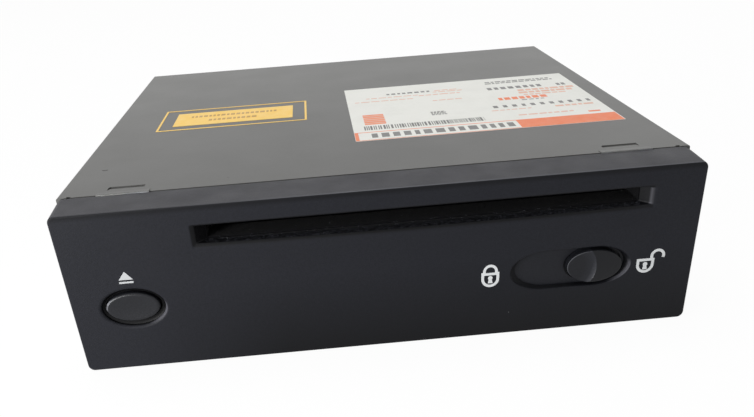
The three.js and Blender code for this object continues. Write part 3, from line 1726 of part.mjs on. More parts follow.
const clampPlateBehindHinge = 1;
const clampNoseRadius = 15;
const clampNoseDegrees = 25.7;
const clampShoulderAhead = 6;
const clampWingAhead = 7;
const clampWingBehind = 6;
const clampTabHalf = 3.4;
const earSheet = 1;
const earRadius = 3;
const clampWindowInset = 10;
const clampWindowFrontShare = 0.605;
const clampWindowAheadOfHinge = 8;
const clamperRadius = 13;
const clamperBottomRise = 1.7;
const clamperPlateGap = 0.5;
const clamperNeckRadius = 5.6;
const clamperFlangeRadius = 8;
const clamperPocketRadius = 7.9;
const clamperPocketDepth = 1.9;

const clampPlateRear = clampHingeY + clampPlateBehindHinge;
const clampShoulderY = clampPinY - clampShoulderAhead;
const clampWingFront = clampPinY - clampWingAhead;
const clampWingRear = clampPinY + clampWingBehind;
const clampWindowFront = discCentreY + clampWindowFrontShare * (clampWingFront - discCentreY);
const clampWindowRear = clampHingeY - clampWindowAheadOfHinge;
const clamperBottom = discPathZ + clamperBottomRise;
const clamperDiscTop = clampPlateBottom - clamperPlateGap;
const clampLeft = hingeLeft + lugWidth + fitGap;
const clampRight = hingeRight - lugWidth - fitGap;

function clampArm() {
  const nose = THREE.MathUtils.degToRad(clampNoseDegrees);
  const shape = new THREE.Shape();
  shape.moveTo(clampLeft, clampPlateRear);
  shape.lineTo(clampLeft, clampWingRear);
  shape.lineTo(armLeft, clampWingRear);
  shape.lineTo(armLeft, clampWingFront);
  shape.lineTo(clampLeft, clampWingFront);
  shape.absarc(discCentreX, discCentreY, clampNoseRadius, Math.PI - nose, 2 * Math.PI + nose, false);
  shape.lineTo(clampRight, clampShoulderY);
  shape.lineTo(clampRight, clampPlateRear);
  const plate = plateZ(shape, [clampPlateBottom, clampPlateTop]);
  const window = block({
    x: [clampLeft + 2 * clampWindowInset, clampRight - 2 * clampWindowInset],
    y: [clampWindowFront, clampWindowRear],
    z: [clampPlateBottom - overrun, clampPlateTop + overrun],
  });
  const hub = barZ(
    clamperNeckRadius + fitGap,
    discCentreX,
    discCentreY,
    [clampPlateBottom - overrun, clampPlateTop + overrun],
    roundSides,
  );
  const ears = [clampLeft, clampRight - earSheet].map((x) => join(
    barX(earRadius, [x, x + earSheet], clampHingeY, clampHingeZ),
    block({ x: [x, x + earSheet], y: span(clampHingeY, 2 * earRadius), z: [clampHingeZ, clampPlateTop] }),
  ));
  const tab = block({
    x: [armLeft, armInner],
    y: span(clampPinY, 2 * clampTabHalf),
    z: [clampPinZ - camPinRadius, clampPlateTop],
  });
  const pin = barX(camPinRadius, [sliderLeft - camGap, armLeft + armSheet / 2], clampPinY, clampPinZ);
  const hingeBore = barX(hingePinRadius + boreGap, [-bodyWidth, bodyWidth], clampHingeY, clampHingeZ);
  return cut(join(cut(plate, window, hub), ears, tab, pin), hingeBore);
}

function clamper() {
  return turnedZ([
    [0, clamperBottom + clamperPocketDepth],
    [clamperPocketRadius, clamperBottom + clamperPocketDepth],
    [clamperPocketRadius, clamperBottom],
    [clamperRadius, clamperBottom],
    [clamperRadius, clamperDiscTop],
    [clamperNeckRadius, clamperDiscTop],
    [clamperNeckRadius, clampPlateTop + fitGap],
    [clamperFlangeRadius, clampPlateTop + fitGap],
    [clamperFlangeRadius, clamperFlangeTop],
    [0, clamperFlangeTop],
  ], discCentreX, discCentreY);
}

// The traverse: a plate on rubber dampers that carries the spindle motor and the pickup

const traverseRightOfDisc = 34.2;
const windowInset = 4.5;
const windowLeftOfDisc = 13.3;
const earWidth = 8.5;
const earToDamper = 4.3;
const earRightOfDisc = 23.2;
const damperRadius = 4;
const damperNeck = 3;
const damperPinRadius = 1.2;
const damperPinEnd = 1;
const rodDrop = 2.6;
const rodRadius = 1.5;
const rodBlockWidth = 1.6;
const rodLeftOfDisc = 9.8;
const screwRadius = 1.4;
const spindleRadius = 12;
const spindleDrop = 5.7;
const spindleBossRadius = 5;
const spindleBossRise = 2;
const sledMotorRadius = 6;
const sledMotorLength = 15;
const sledMotorBracket = 1.2;

const traverseRight = discCentreX + traverseRightOfDisc;
const windowLeft = traverseLeft + windowInset;
const windowRight = discCentreX - windowLeftOfDisc;
const earLeft = damperLeftX - earToDamper;
const earInner = earLeft + earWidth;
const earRight = discCentreX + earRightOfDisc;
const rodZ = traverseBottom - rodDrop;
const rodRight = discCentreX - rodLeftOfDisc;
const spindleBottom = traverseBottom - spindleDrop;
const spindleBossTop = traverseBottom + spindleBossRise;
const rodYs = [discCentreY - rodReachY, discCentreY + rodReachY];
const rodLeft = traverseLeft + rodBlockWidth / 2;
const sledMotorFace = rodRight + rodBlockWidth + fitGap;
const damperPlaces = [damperLeftX, damperRightX].flatMap((x) => [
  [x, discCentreY - damperReachY],
  [x, discCentreY + damperReachY],
]);

function rodBlocks(y, x) {
  const body = block({
    x,
    y: span(y, rodBlockDepth),
    z: [rodZ - rodBlockDepth / 2 + rodRadius / 2, traverseBottom + traverseSheet / 2],
  });
  return body;
}

function traversePlate() {
  const [front, rear] = [discCentreY - railOuter, discCentreY + railOuter];
  const sheet = [traverseBottom, traverseBottom + traverseSheet];
  const plate = block({ x: [traverseLeft, traverseRight], y: [front, rear], z: sheet });
  const screwLand = block({
    x: [traverseLeft, rodRight + sledMotorBracket],
    y: [rear - fitGap, screwY + rodBlockDepth / 2],
    z: sheet,
  });
  const ears = damperPlaces.map(([x, y]) => {
    const wide = x < 0 ? [earLeft, earInner] : [earRight, earRight + (earInner - earLeft)];
    const deep = y < discCentreY ? [discCentreY - earReach, front + fitGap] : [rear - fitGap, discCentreY + earReach];
    return block({ x: wide, y: deep, z: sheet });
  });
  const pins = damperPlaces.map(([x, y]) => barZ(
    damperPinRadius,
    x,
    y,
    [deckBottom + deckSheet + damperPinEnd, traverseBottom + traverseSheet / 2],
    tinySides,
  ));
  const window = block({
    x: [windowLeft, windowRight],
    y: [discCentreY - railInner, discCentreY + railInner],
    z: [traverseBottom - overrun, traverseBottom + traverseSheet + overrun],
  });
  const bossHole = barZ(
    spindleBossRadius + fitGap,
    discCentreX,
    discCentreY,
    [traverseBottom - overrun, traverseBottom + traverseSheet + overrun],
    roundSides,
  );
  const leftEnd = [traverseLeft, traverseLeft + rodBlockWidth];
  const rightEnd = [rodRight, rodRight + rodBlockWidth];
  const blocks = rodYs.flatMap((y) => [rodBlocks(y, leftEnd), rodBlocks(y, rightEnd)]);
  const screwEnd = rodBlocks(screwY, leftEnd);
  const motorBracket = block({
    x: rightEnd,
    y: span(screwY, 2 * sledMotorRadius),
    z: [rodZ - sledMotorRadius, rodZ + sledMotorRadius],
  });
  const bores = rodYs.map((y) => barX(rodRadius + boreGap, [rodLeft, rodRight + rodBlockWidth / 2], y, rodZ));
  const screwBore = barX(screwRadius + boreGap, [rodLeft, rodRight + 2 * rodBlockWidth], screwY, rodZ);
  const motorNotch = block({
    x: [rightEnd[1], sledMotorFace + sledMotorLength + fitGap],
    y: [screwY - sledMotorRadius - fitGap, rear + overrun],
    z: [traverseBottom - overrun, traverseBottom + traverseSheet + overrun],
  });
  const whole = join(plate, screwLand, ears, pins, blocks, screwEnd, motorBracket);
  return cut(whole, window, bossHole, bores, screwBore, motorNotch);
}

function damper(x, y) {
  const [bottom, top] = [deckBottom + deckSheet, traverseBottom];
  const middle = (bottom + top) / 2;
  const bore = damperPinRadius + boreGap;
  return turnedZ([
    [bore, bottom],
    [damperRadius, bottom],
    [damperNeck, middle],
    [damperRadius, top],
    [bore, top],
    [bore, bottom],
  ], x, y, smallSides);
}

function spindleMotor() {
  const bore = motorShaftRadius + boreGap;
  const floor = spindleBottom + traverseSheet;
  return turnedZ([
    [0, spindleBottom],
    [spindleRadius, spindleBottom],
    [spindleRadius, traverseBottom],
    [spindleBossRadius, traverseBottom],
    [spindleBossRadius, spindleBossTop],
    [bore, spindleBossTop],
    [bore, floor],
    [0, floor],
  ], discCentreX, discCentreY);
}

const turntableRadius = 14;
const turntableThickness = 1.6;
const coneRadius = 7.3;
const coneTipRadius = 3.5;
const coneRise = 2.2;
const coneStep = 1;
const turntableHub = 4;

function turntable() {
  const under = turntableTop - turntableThickness;
  return turnedZ([
    [0, spindleBottom + traverseSheet + fitGap],
    [motorShaftRadius, spindleBottom + traverseSheet + fitGap],
    [motorShaftRadius, spindleBossTop + fitGap],
    [turntableHub, spindleBossTop + fitGap],
    [turntableHub, under],
    [turntableRadius, under],
    [turntableRadius, turntableTop],
    [coneRadius, turntableTop],
    [coneRadius, turntableTop + coneStep],
    [coneTipRadius, turntableTop + coneRise],
    [0, turntableTop + coneRise],
  ], discCentreX, discCentreY);
}

// The pickup sled on its rods, with the lens

const sledBodyDrop = 1.6;
const sledBodyRise = 1.6;
const sledInnerReach = 8.4;
const sledOuterReach = 15;
const sledRailGap = 1.5;
const sledEarWidth = 10;
const sledEarRise = 2;
const lensTowerHalf = 5.4;
const lensTowerDrop = 1.7;
const lensRadius = 2;
const lensHeight = 0.5;
const nutReach = 2.8;

const sledBodyBottom = rodZ - sledBodyDrop;
const sledBodyTop = traverseBottom + sledBodyRise;
const sledHalfDepth = railInner - sledRailGap;
const sledEarTop = rodZ + sledEarRise;
const lensTowerTop = turntableTop - lensTowerDrop;
const lensX = discCentreX - lensInnerRadius;

function pickupSled() {
  const body = block({
    x: [lensX - sledOuterReach, lensX + sledInnerReach],
    y: [discCentreY - sledHalfDepth, discCentreY + sledHalfDepth],
    z: [sledBodyBottom, sledBodyTop],
  });
  const rearEar = block({
    x: span(lensX, sledEarWidth),
    y: [discCentreY + sledHalfDepth - fitGap, screwY + nutReach],
    z: [rodZ - rodRadius - nutReach / 2, sledEarTop],
  });
  const frontEar = block({
    x: span(lensX, sledEarWidth),
    y: [rodYs[0] - nutReach, discCentreY - sledHalfDepth + fitGap],
    z: [rodZ - rodRadius - nutReach / 2, sledEarTop],
  });
  const tower = block({
    x: span(lensX, 2 * lensTowerHalf),
    y: span(discCentreY, 2 * lensTowerHalf),
    z: [sledBodyTop - fitGap, lensTowerTop],
  });
  const through = [lensX - sledEarWidth, lensX + sledEarWidth];
  const bores = rodYs.map((y) => barX(rodRadius + boreGap, through, y, rodZ));
  return cut(join(body, rearEar, frontEar, tower), bores, barX(screwRadius + boreGap, through, screwY, rodZ));
}

function pickupLens() {
  return turnedZ([
    [0, lensTowerTop],
    [lensRadius, lensTowerTop],
    [lensRadius / 2, lensTowerTop + lensHeight],
    [0, lensTowerTop + lensHeight],
  ], lensX, discCentreY, smallSides);
}

function sledMotor() {
  const bore = screwRadius + boreGap;
  const rear = sledMotorFace + sledMotorLength;
  return turnedX([
    [bore, sledMotorFace],
    [sledMotorRadius, sledMotorFace],
    [sledMotorRadius, rear],
    [0, rear],
    [0, sledMotorFace + rodBlockWidth + fitGap],
    [bore, sledMotorFace + rodBlockWidth + fitGap],
    [bore, sledMotorFace],
  ], screwY, rodZ);
}

function leadScrew() {
  return barX(screwRadius, [rodLeft + fitGap, sledMotorFace + rodBlockWidth], screwY, rodZ);
}

// The sensing lever that the disc's rear edge pushes

const triggerPinRightOfDisc = 20.2;
const triggerPinToRear = 11;
const triggerBoss = 3.4;
const triggerWidth = 2.4;
const triggerPinRadius = 1.3;
const triggerPinDrop = 4.5;

const triggerPinX = discCentreX + triggerPinRightOfDisc;
const triggerPinY = deckRear - triggerPinToRear;
const triggerPinBottom = discPathZ - triggerPinDrop;

function triggerLever() {
  const bottom = triggerTop - triggerSheet;
  const arm = plateZ(
    slotShape([triggerPivotX, triggerPivotY], [triggerPinX, triggerPinY], triggerWidth),
    [bottom, triggerTop],
  );
  const boss = barZ(triggerBoss, triggerPivotX, triggerPivotY, [bottom, triggerTop]);
  const pin = barZ(triggerPinRadius, triggerPinX, triggerPinY, [triggerPinBottom, triggerTop], tinySides);
  const bore = barZ(triggerAxleRadius + boreGap, triggerPivotX, triggerPivotY, [bottom - overrun, bodyHeight]);
  return cut(join(arm, boss, pin), bore);
}

// The assembly

function addCase() {
  add('front_bezel', frontBezel(), bezelPlastic);
  add('top_cover', topCover(), coverPaint);
  add('lower_case', lowerCase(), bareSteel);
  add('rear_panel', rearPanel(), bareSteel);
  add('rear_socket', rearSocket(), blackPlastic);
  caseScrews();
  add('felt_lower', felt(throatBottom), feltBlack);
  add('felt_upper', felt(throatTop - feltThickness), feltBlack);
}

function addControls() {
  add('eject_button', ejectButton(), knobPlastic);
  add('eject_switch', ejectSwitch(), blackPlastic);
  add('eject_plunger', ejectPlunger(), innerPlastic);
  add('front_board', frontBoard(), boardGreen);
  add('lock_knob', lockKnob(), knobPlastic);
  add('lock_plate', lockPlate(), bezelPlastic);
  add('lock_switch', lockSwitch(), blackPlastic);
  add('lock_lever', lockLever(), innerPlastic);
}

function addElectronics() {
  add('main_board', mainBoard(), boardGreen);
  add('main_processor', mainProcessor(), blackPlastic);
  add('flat_cable', flatCable(), cableWhite);
}

function addLoader() {
  const modeWheel = [sliderLeft - fitGap, sliderLeft + sliderSheet + fitGap];
  const onShaft = gearX(rollerTeeth, rollerPhase, ...rollerPlace, [idlerLeft, idlerRight], shaftRadius + boreGap);
  add('mech_frame', mechFrame(), bareSteel);
  add('gear_plate', gearPlate(), bareSteel);
  add('disc_guide', discGuide(), blackPlastic);
  add('loading_motor', loadingMotor(), bareSteel);
  add('motor_pinion', motorPinion(motorPhase), innerPlastic);
  add('reduction_gear', reductionGear(), innerPlastic);
  add('clutch_gear', wheelWithHub(clutchTeeth, clutchPhase, pivotPlace, [clutchLeft, clutchRight]), innerPlastic);
  add('idler_gear', gearX(idlerTeeth, idlerPhase, ...pivotPlace, [idlerLeft, idlerRight], boreRadius), innerPlastic);
  add('roller_gear', onShaft, innerPlastic);
  add('feed_shaft', feedShaft(), polishedSteel);
  add('feed_roller', feedRoller(), rubberGrey);
  add('roller_bracket', rollerBracket(), bareSteel);
  add('mode_slider', modeSlider(), innerPlastic);
  add('mode_pinion', gearX(modeTeeth, modePhase, ...reductionPlace, modeWheel, boreRadius), innerPlastic);
  add('trigger_lever', triggerLever(), innerPlastic);
  add('clamp_arm', clampArm(), bareSteel);
  add('clamper', clamper(), blackPlastic);
}

function addTraverse() {
  add('traverse_plate', traversePlate(), castMetal);
  damperPlaces.forEach(([x, y], i) => add(`damper_${i + 1}`, damper(x, y), rubberGrey));
  add('spindle_motor', spindleMotor(), bareSteel);
  add('turntable', turntable(), blackPlastic);
  rodYs.forEach((y, i) => {
    const rod = barX(rodRadius, [rodLeft + fitGap, rodRight + rodBlockWidth / 2 - fitGap], y, rodZ);
    add(`guide_rod_${i + 1}`, rod, polishedSteel);
  });
  add('pickup_sled', pickupSled(), castMetal);
  add('pickup_lens', pickupLens(), lensGlass);
  add('lead_screw', leadScrew(), polishedSteel);
  add('sled_motor', sledMotor(), bareSteel);
}

addCase();
addControls();
addElectronics();
addLoader();
addTraverse();

// The origin is the middle of the footprint, from the knob's ridge to the rear socket
const drive = new THREE.Group();
drive.position.y = -(socketRear - knobProud) / 2;
drive.add(...pieces);

const part = new THREE.Group();
part.name = 'car_navigation_disc_drive';
part.add(drive);

export default part;
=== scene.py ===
"""Builds the visible surfaces of a slot-loading navigation disc drive around its fixed frame.

Sizes are in millimetres. Across is to the right of the middle, a depth is measured back from the
front face, and a height from the plane that the drive lies on. place() turns them into a point in
metres in the frame's own axes.
"""

import json
import math
import random
from collections import namedtuple
from types import SimpleNamespace

import bmesh
import bpy
from bpy.props import FloatProperty, FloatVectorProperty, IntProperty, PointerProperty
from mathutils import Matrix, Vector


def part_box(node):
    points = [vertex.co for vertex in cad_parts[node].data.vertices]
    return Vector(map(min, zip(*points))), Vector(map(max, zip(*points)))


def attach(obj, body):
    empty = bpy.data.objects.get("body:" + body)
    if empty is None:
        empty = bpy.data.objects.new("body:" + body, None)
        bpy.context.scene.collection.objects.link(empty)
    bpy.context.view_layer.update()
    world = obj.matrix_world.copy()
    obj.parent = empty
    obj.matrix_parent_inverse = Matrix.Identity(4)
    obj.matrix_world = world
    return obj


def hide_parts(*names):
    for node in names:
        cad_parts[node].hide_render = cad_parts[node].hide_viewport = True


bl_info = {
    "name": "Navigation disc drive",
    "version": (1, 0, 0),
    "blender": (4, 5, 0),
    "location": "View3D > Sidebar > Disc drive",
    "description": "Models the surfaces and finishes of a slot-loading navigation disc drive",
    "category": "Add Mesh",
}

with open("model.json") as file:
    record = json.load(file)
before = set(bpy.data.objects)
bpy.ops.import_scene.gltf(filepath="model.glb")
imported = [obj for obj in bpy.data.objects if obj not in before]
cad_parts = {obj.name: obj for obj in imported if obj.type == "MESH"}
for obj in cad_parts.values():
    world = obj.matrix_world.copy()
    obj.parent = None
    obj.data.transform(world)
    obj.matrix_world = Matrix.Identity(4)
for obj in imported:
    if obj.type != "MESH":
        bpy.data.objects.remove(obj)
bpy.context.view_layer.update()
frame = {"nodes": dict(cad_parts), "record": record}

MM = 0.001
RECORD = frame["record"]
BODY_OF = {node: body for body, nodes in RECORD["behaviour"]["bodies"].items() for node in nodes}
SLOT_OF = {part["node"]: part["material_slot"] for part in RECORD["subparts"]}
Corner = namedtuple("Corner", "x y z")


def mm(value):
    """Metres from millimetres."""
    return value * MM


def corners_of(node):
    """Lowest and highest corner of a node of the frame, in metres."""
    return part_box(node)


FACE_Y = corners_of("front_bezel")[0].y


def place(across, depth, height):
    """The point that lies so far across, behind the face and up, in metres."""
    return Vector((mm(across), FACE_Y + mm(depth), mm(height)))


def box_of(node):
    """Lowest and highest corner of a node of the frame: across, depth and height."""
    return [Corner(corner.x / MM, (corner.y - FACE_Y) / MM, corner.z / MM) for corner in corners_of(node)]


HALF_WIDTH = box_of("front_bezel")[1].x
TOP_Z = box_of("front_bezel")[1].z
LOCK_TRAVEL = 13.2
HOOK_X = 72.6
KNOB_INSET = (0.55, 0.25)
DISH_SHIFT = 6.9
DISH_RADII = (7.3, 8.4)
BUTTON_FLANGE = 1.2
BUTTON_SHIFT = 0.35
SLOT_FLARE = 3


def srgb(red, green, blue):
    """Linear colour from 0 to 255 screen values."""
    def linear(value):
        share = value / 255
        return share / 12.92 if share <= 0.04045 else ((share + 0.055) / 1.055) ** 2.4
    return (linear(red), linear(green), linear(blue))


def shade(colour, factor):
    """The colour, made lighter or darker."""
    return tuple(min(1.0, channel * factor) for channel in colour[:3])


# Sizes and colours that a user would change

def length(name, description, size):
    """A setting for a length, with its default in millimetres."""
    return FloatProperty(name=name, description=description, default=mm(size), unit="LENGTH")


def tone(name, description, *screen):
    """A setting for a colour, with its default in screen values."""
    return FloatVectorProperty(name=name, description=description, subtype="COLOR", default=srgb(*screen))


class FaceSizes(bpy.types.PropertyGroup):
    """Sizes of the moulded front."""

    width: length("Face width", "Width of the flat face", 180.6)
    depth: length("Moulding depth", "From the face to the cover's seam", 13.85)
    edge_radius: length("Edge radius", "Rounding between the face and its sides", 0.5)
    top_radius: length("Top corner radius", "Rounding of the upper corners", 2.0)
    bottom_radius: length("Bottom corner radius", "Rounding of the lower corners", 1.9)
    wall: length("Face wall", "Thickness of the face", 2.5)
    slot_width: length("Slot width", "Width of the slot's mouth", 128.8)
    upper_lip: length("Upper lip", "Rounding over the slot", 0.7)
    lower_lip: length("Lower lip", "Height of the rounding under the slot", 1.9)
    lip_depth: length("Lip depth", "Depth of the slot's rounded lips", 0.7)
    slot_bow: length("Slot bow", "Sag of the slot's lower edge in its middle", 0.8)
    end_lip: length("End lip", "Rounding at the slot's ends", 0.8)
    throat_width: length("Throat width", "Width of the slot behind its flare", 122.5)
    throat_height: length("Throat height", "Height of the slot behind its lips", 5.2)


class ControlSizes(bpy.types.PropertyGroup):
    """Sizes of the eject button and the lock slider."""

    button_margin: length("Button margin", "From the cap to the edge of its recess", 1.1)
    button_well: length("Button well", "Depth of the button's recess", 1.5)
    button_rim: length("Button rim", "Radius of the cap's rounded rim", 0.85)
    knob_dish: length("Knob dish", "Depth of the finger dish in the knob", 1.3)
    knob_rim: length("Knob rim", "Radius of the knob's rounded rim", 0.5)
    knob_gap: length("Knob gap", "Width of the groove around the knob", 0.6)


class FeltSizes(bpy.types.PropertyGroup):
    """The fibres of the felt strips in the slot."""

    fibres: IntProperty(name="Fibres", description="Loose fibres on each strip", default=900, min=0)
    lint: IntProperty(name="Lint", description="Pale specks of lint on the lower strip", default=110, min=0)


class DriveColours(bpy.types.PropertyGroup):
    """Colours of the finishes."""

    face: tone("Face", "Moulded front", 30, 31, 36)
    knob: tone("Knob", "Eject button and lock knob", 24, 25, 29)
    cover: tone("Cover", "Paint of the sheet cover", 87, 87, 85)
    steel: tone("Steel", "Zinc-plated sheet", 190, 192, 192)
    ink: tone("Ink", "Printed signs on the face", 204, 206, 208)
    label: tone("Label", "Paper of the large label", 230, 230, 224)
    orange: tone("Orange", "Bands and fields of the large label", 234, 132, 92)
    yellow: tone("Yellow", "Frame and panel of the small label", 246, 203, 98)


class DriveSettings(bpy.types.PropertyGroup):
    """Everything that the panel offers."""

    face: PointerProperty(type=FaceSizes)
    controls: PointerProperty(type=ControlSizes)
    felt: PointerProperty(type=FeltSizes)
    colours: PointerProperty(type=DriveColours)


def settings():
    """The drive's settings in the current scene."""
    return bpy.context.scene.disc_drive


def sizes(group):
    """The lengths of a group of settings, in millimetres."""
    values = getattr(settings(), group)
    return SimpleNamespace(**{name: getattr(values, name) / MM for name in type(values).__annotations__})


# Finishes

class Finish:
    """One material: its shader, and the textures on the object's own coordinates that feed it."""

    def __init__(self, name, colour, roughness, metallic=0.0, **sockets):
        self.material = bpy.data.materials.new(name)
        self.material.use_nodes = True
        self.tree = self.material.node_tree
        self.shader = self.tree.nodes["Principled BSDF"]
        self.colour = (*colour[:3], 1.0)
        self.shader.inputs["Base Color"].default_value = self.colour
        self.shader.inputs["Roughness"].default_value = roughness
        self.shader.inputs["Metallic"].default_value = metallic
        for socket, value in sockets.items():
            self.shader.inputs[socket.replace("_", " ")].default_value = value
        self.material.diffuse_color = self.colour
        self.colour_link = None
        self.normal_link = None
        self.coordinates = self.add("ShaderNodeTexCoord").outputs["Object"]

    def add(self, kind, **values):
        """A new node, with its properties set."""
        node = self.tree.nodes.new(kind)
        for key, value in values.items():
            setattr(node, key, value)
        return node

    def link(self, source, socket):
        """Feeds a socket from an output, or sets it to a number."""
        if hasattr(source, "is_output"):
            self.tree.links.new(source, socket)
        else:
            socket.default_value = source

    def texture(self, kind, size, stretch):
        """A texture of this size on the coordinates, drawn out along the axes whose stretch is above one."""
        mapping = self.add("ShaderNodeMapping")
        self.link(self.coordinates, mapping.inputs["Vector"])
        mapping.inputs["Scale"].default_value = [1 / share for share in stretch]
        node = self.add(kind)
        self.link(mapping.outputs["Vector"], node.inputs["Vector"])
        node.inputs["Scale"].default_value = 1 / mm(size)
        return node

    def noise(self, size, detail=3.0, stretch=(1, 1, 1), distortion=0.0):
        """A cloudy pattern whose blotches are about this size."""
        node = self.texture("ShaderNodeTexNoise", size, stretch)
        node.inputs["Detail"].default_value = detail
        node.inputs["Distortion"].default_value = distortion
        return node.outputs[0]

    def span(self, source, low, high, to_low=0.0, to_high=1.0):
        """The source, taken from one range to another and held at its ends."""
        node = self.add("ShaderNodeMapRange", clamp=True)
        self.link(source, node.inputs["Value"])
        for socket, value in zip(("From Min", "From Max", "To Min", "To Max"), (low, high, to_low, to_high)):
            node.inputs[socket].default_value = value
        return node.outputs["Result"]

    def math(self, operation, first, second=0.0):
        """Arithmetic on two sources."""
        node = self.add("ShaderNodeMath", operation=operation)
        self.link(first, node.inputs[0])
        self.link(second, node.inputs[1])
        return node.outputs[0]

    def product(self, *sources):
        """All sources multiplied together."""
        total = sources[0]
        for source in sources[1:]:
            total = self.math("MULTIPLY", total, source)
        return total

    def part_of(self, source, axis):
        """One part of a direction or a place."""
        split = self.add("ShaderNodeSeparateXYZ")
        self.link(source, split.inputs[0])
        return split.outputs[axis]

    def at(self, axis):
        """The place along one axis of the frame, in metres."""
        return self.part_of(self.coordinates, axis)

    def along(self, axis, low, high, to_low=0.0, to_high=1.0):
        """A range of places across, in depth or in height, taken to another range."""
        start = FACE_Y if axis == "Y" else 0.0
        return self.span(self.at(axis), start + mm(low), start + mm(high), to_low, to_high)

    def facing(self, axis, low=0.8, high=0.95):
        """How far the surface faces either way along an axis."""
        normal = self.part_of(self.coordinates.node.outputs["Normal"], axis)
        return self.span(self.math("ABSOLUTE", normal), low, high)

    def toward(self, direction, low, high):
        """How far the surface faces a direction."""
        node = self.add("ShaderNodeVectorMath", operation="DOT_PRODUCT")
        self.link(self.coordinates.node.outputs["Normal"], node.inputs[0])
        node.inputs[1].default_value = direction
        return self.span(node.outputs["Value"], low, high)

    def oval_reach(self, centre, radii):
        """How far out from a centre, one being on the oval of these radii across and up."""
        total = 0.0
        for axis, middle, radius in zip("XZ", centre, radii):
            share = self.math("DIVIDE", self.math("SUBTRACT", self.at(axis), mm(middle)), mm(radius))
            total = self.math("ADD", self.math("MULTIPLY", share, share), total)
        return self.math("SQRT", total)

    def tint(self, amount, colour):
        """Mixes in another colour, or a lighter or darker shade of the material's own."""
        if not isinstance(colour, tuple):
            colour = shade(self.colour, colour)
        node = self.add("ShaderNodeMix", data_type="RGBA")
        self.link(amount, node.inputs[0])
        self.link(self.colour_link or self.colour, node.inputs[6])
        self.link((*colour, 1.0), node.inputs[7])
        self.colour_link = node.outputs[2]
        self.link(self.colour_link, self.shader.inputs["Base Color"])

    def cloud(self, size, detail, limits, amount, colour, **pattern):
        """Tints the blotches of a cloudy pattern."""
        self.tint(self.span(self.noise(size, detail, **pattern), *limits, 0.0, amount), colour)

    def specks(self, spacing, radius, share, colour, axis="Z", drawn=1.0):
        """Tints marks of this radius on a share of scattered points, where the surface faces along an axis."""
        stretch = [60.0 if name == axis else 1.0 for name in "XYZ"]
        stretch[0] *= drawn
        cells = self.texture("ShaderNodeTexVoronoi", spacing, stretch)
        reach = radius / spacing
        near = self.span(cells.outputs["Distance"], reach / 2, reach, 1.0, 0.0)
        split = self.add("ShaderNodeSeparateColor")
        self.link(cells.outputs["Color"], split.inputs["Color"])
        self.tint(self.product(near, self.math("LESS_THAN", split.outputs[0], share), self.facing(axis)), colour)

    def bump(self, source, depth, strength):
        """Raises the surface by the source, up to this depth."""
        node = self.add("ShaderNodeBump")
        node.inputs["Strength"].default_value = strength
        node.inputs["Distance"].default_value = mm(depth)
        self.link(source, node.inputs["Height"])
        if self.normal_link:
            self.link(self.normal_link, node.inputs["Normal"])
        self.normal_link = node.outputs["Normal"]
        self.link(self.normal_link, self.shader.inputs["Normal"])

    def grain(self, size, detail, depth, strength, **pattern):
        """Raises a cloudy pattern."""
        self.bump(self.noise(size, detail, **pattern), depth, strength)

    def wear(self, size, detail, low, high):
        """Varies the roughness between two values, and closes the finish."""
        self.link(self.span(self.noise(size, detail), 0.3, 0.7, low, high), self.shader.inputs["Roughness"])
        return self


def moulded_finish(name, colour, roughness=0.5, grain=0.28, specular=0.13):
    """Spark-eroded black plastic, with handling marks."""
    finish = Finish(name, colour, roughness, Specular_IOR_Level=specular)
    finish.grain(grain, 2.0, 0.05, 0.9)
    finish.grain(grain * 5, 3.0, 0.05, 0.6)
    finish.cloud(0.4, 2.0, (0.4, 0.7), 0.5, 1.7)
    finish.cloud(1.1, 4.0, (0.42, 0.68), 0.4, 1.5)
    finish.cloud(34, 4.0, (0.5, 0.75), 0.3, 1.3)
    return finish.wear(12, 4.0, roughness - 0.06, roughness + 0.08)


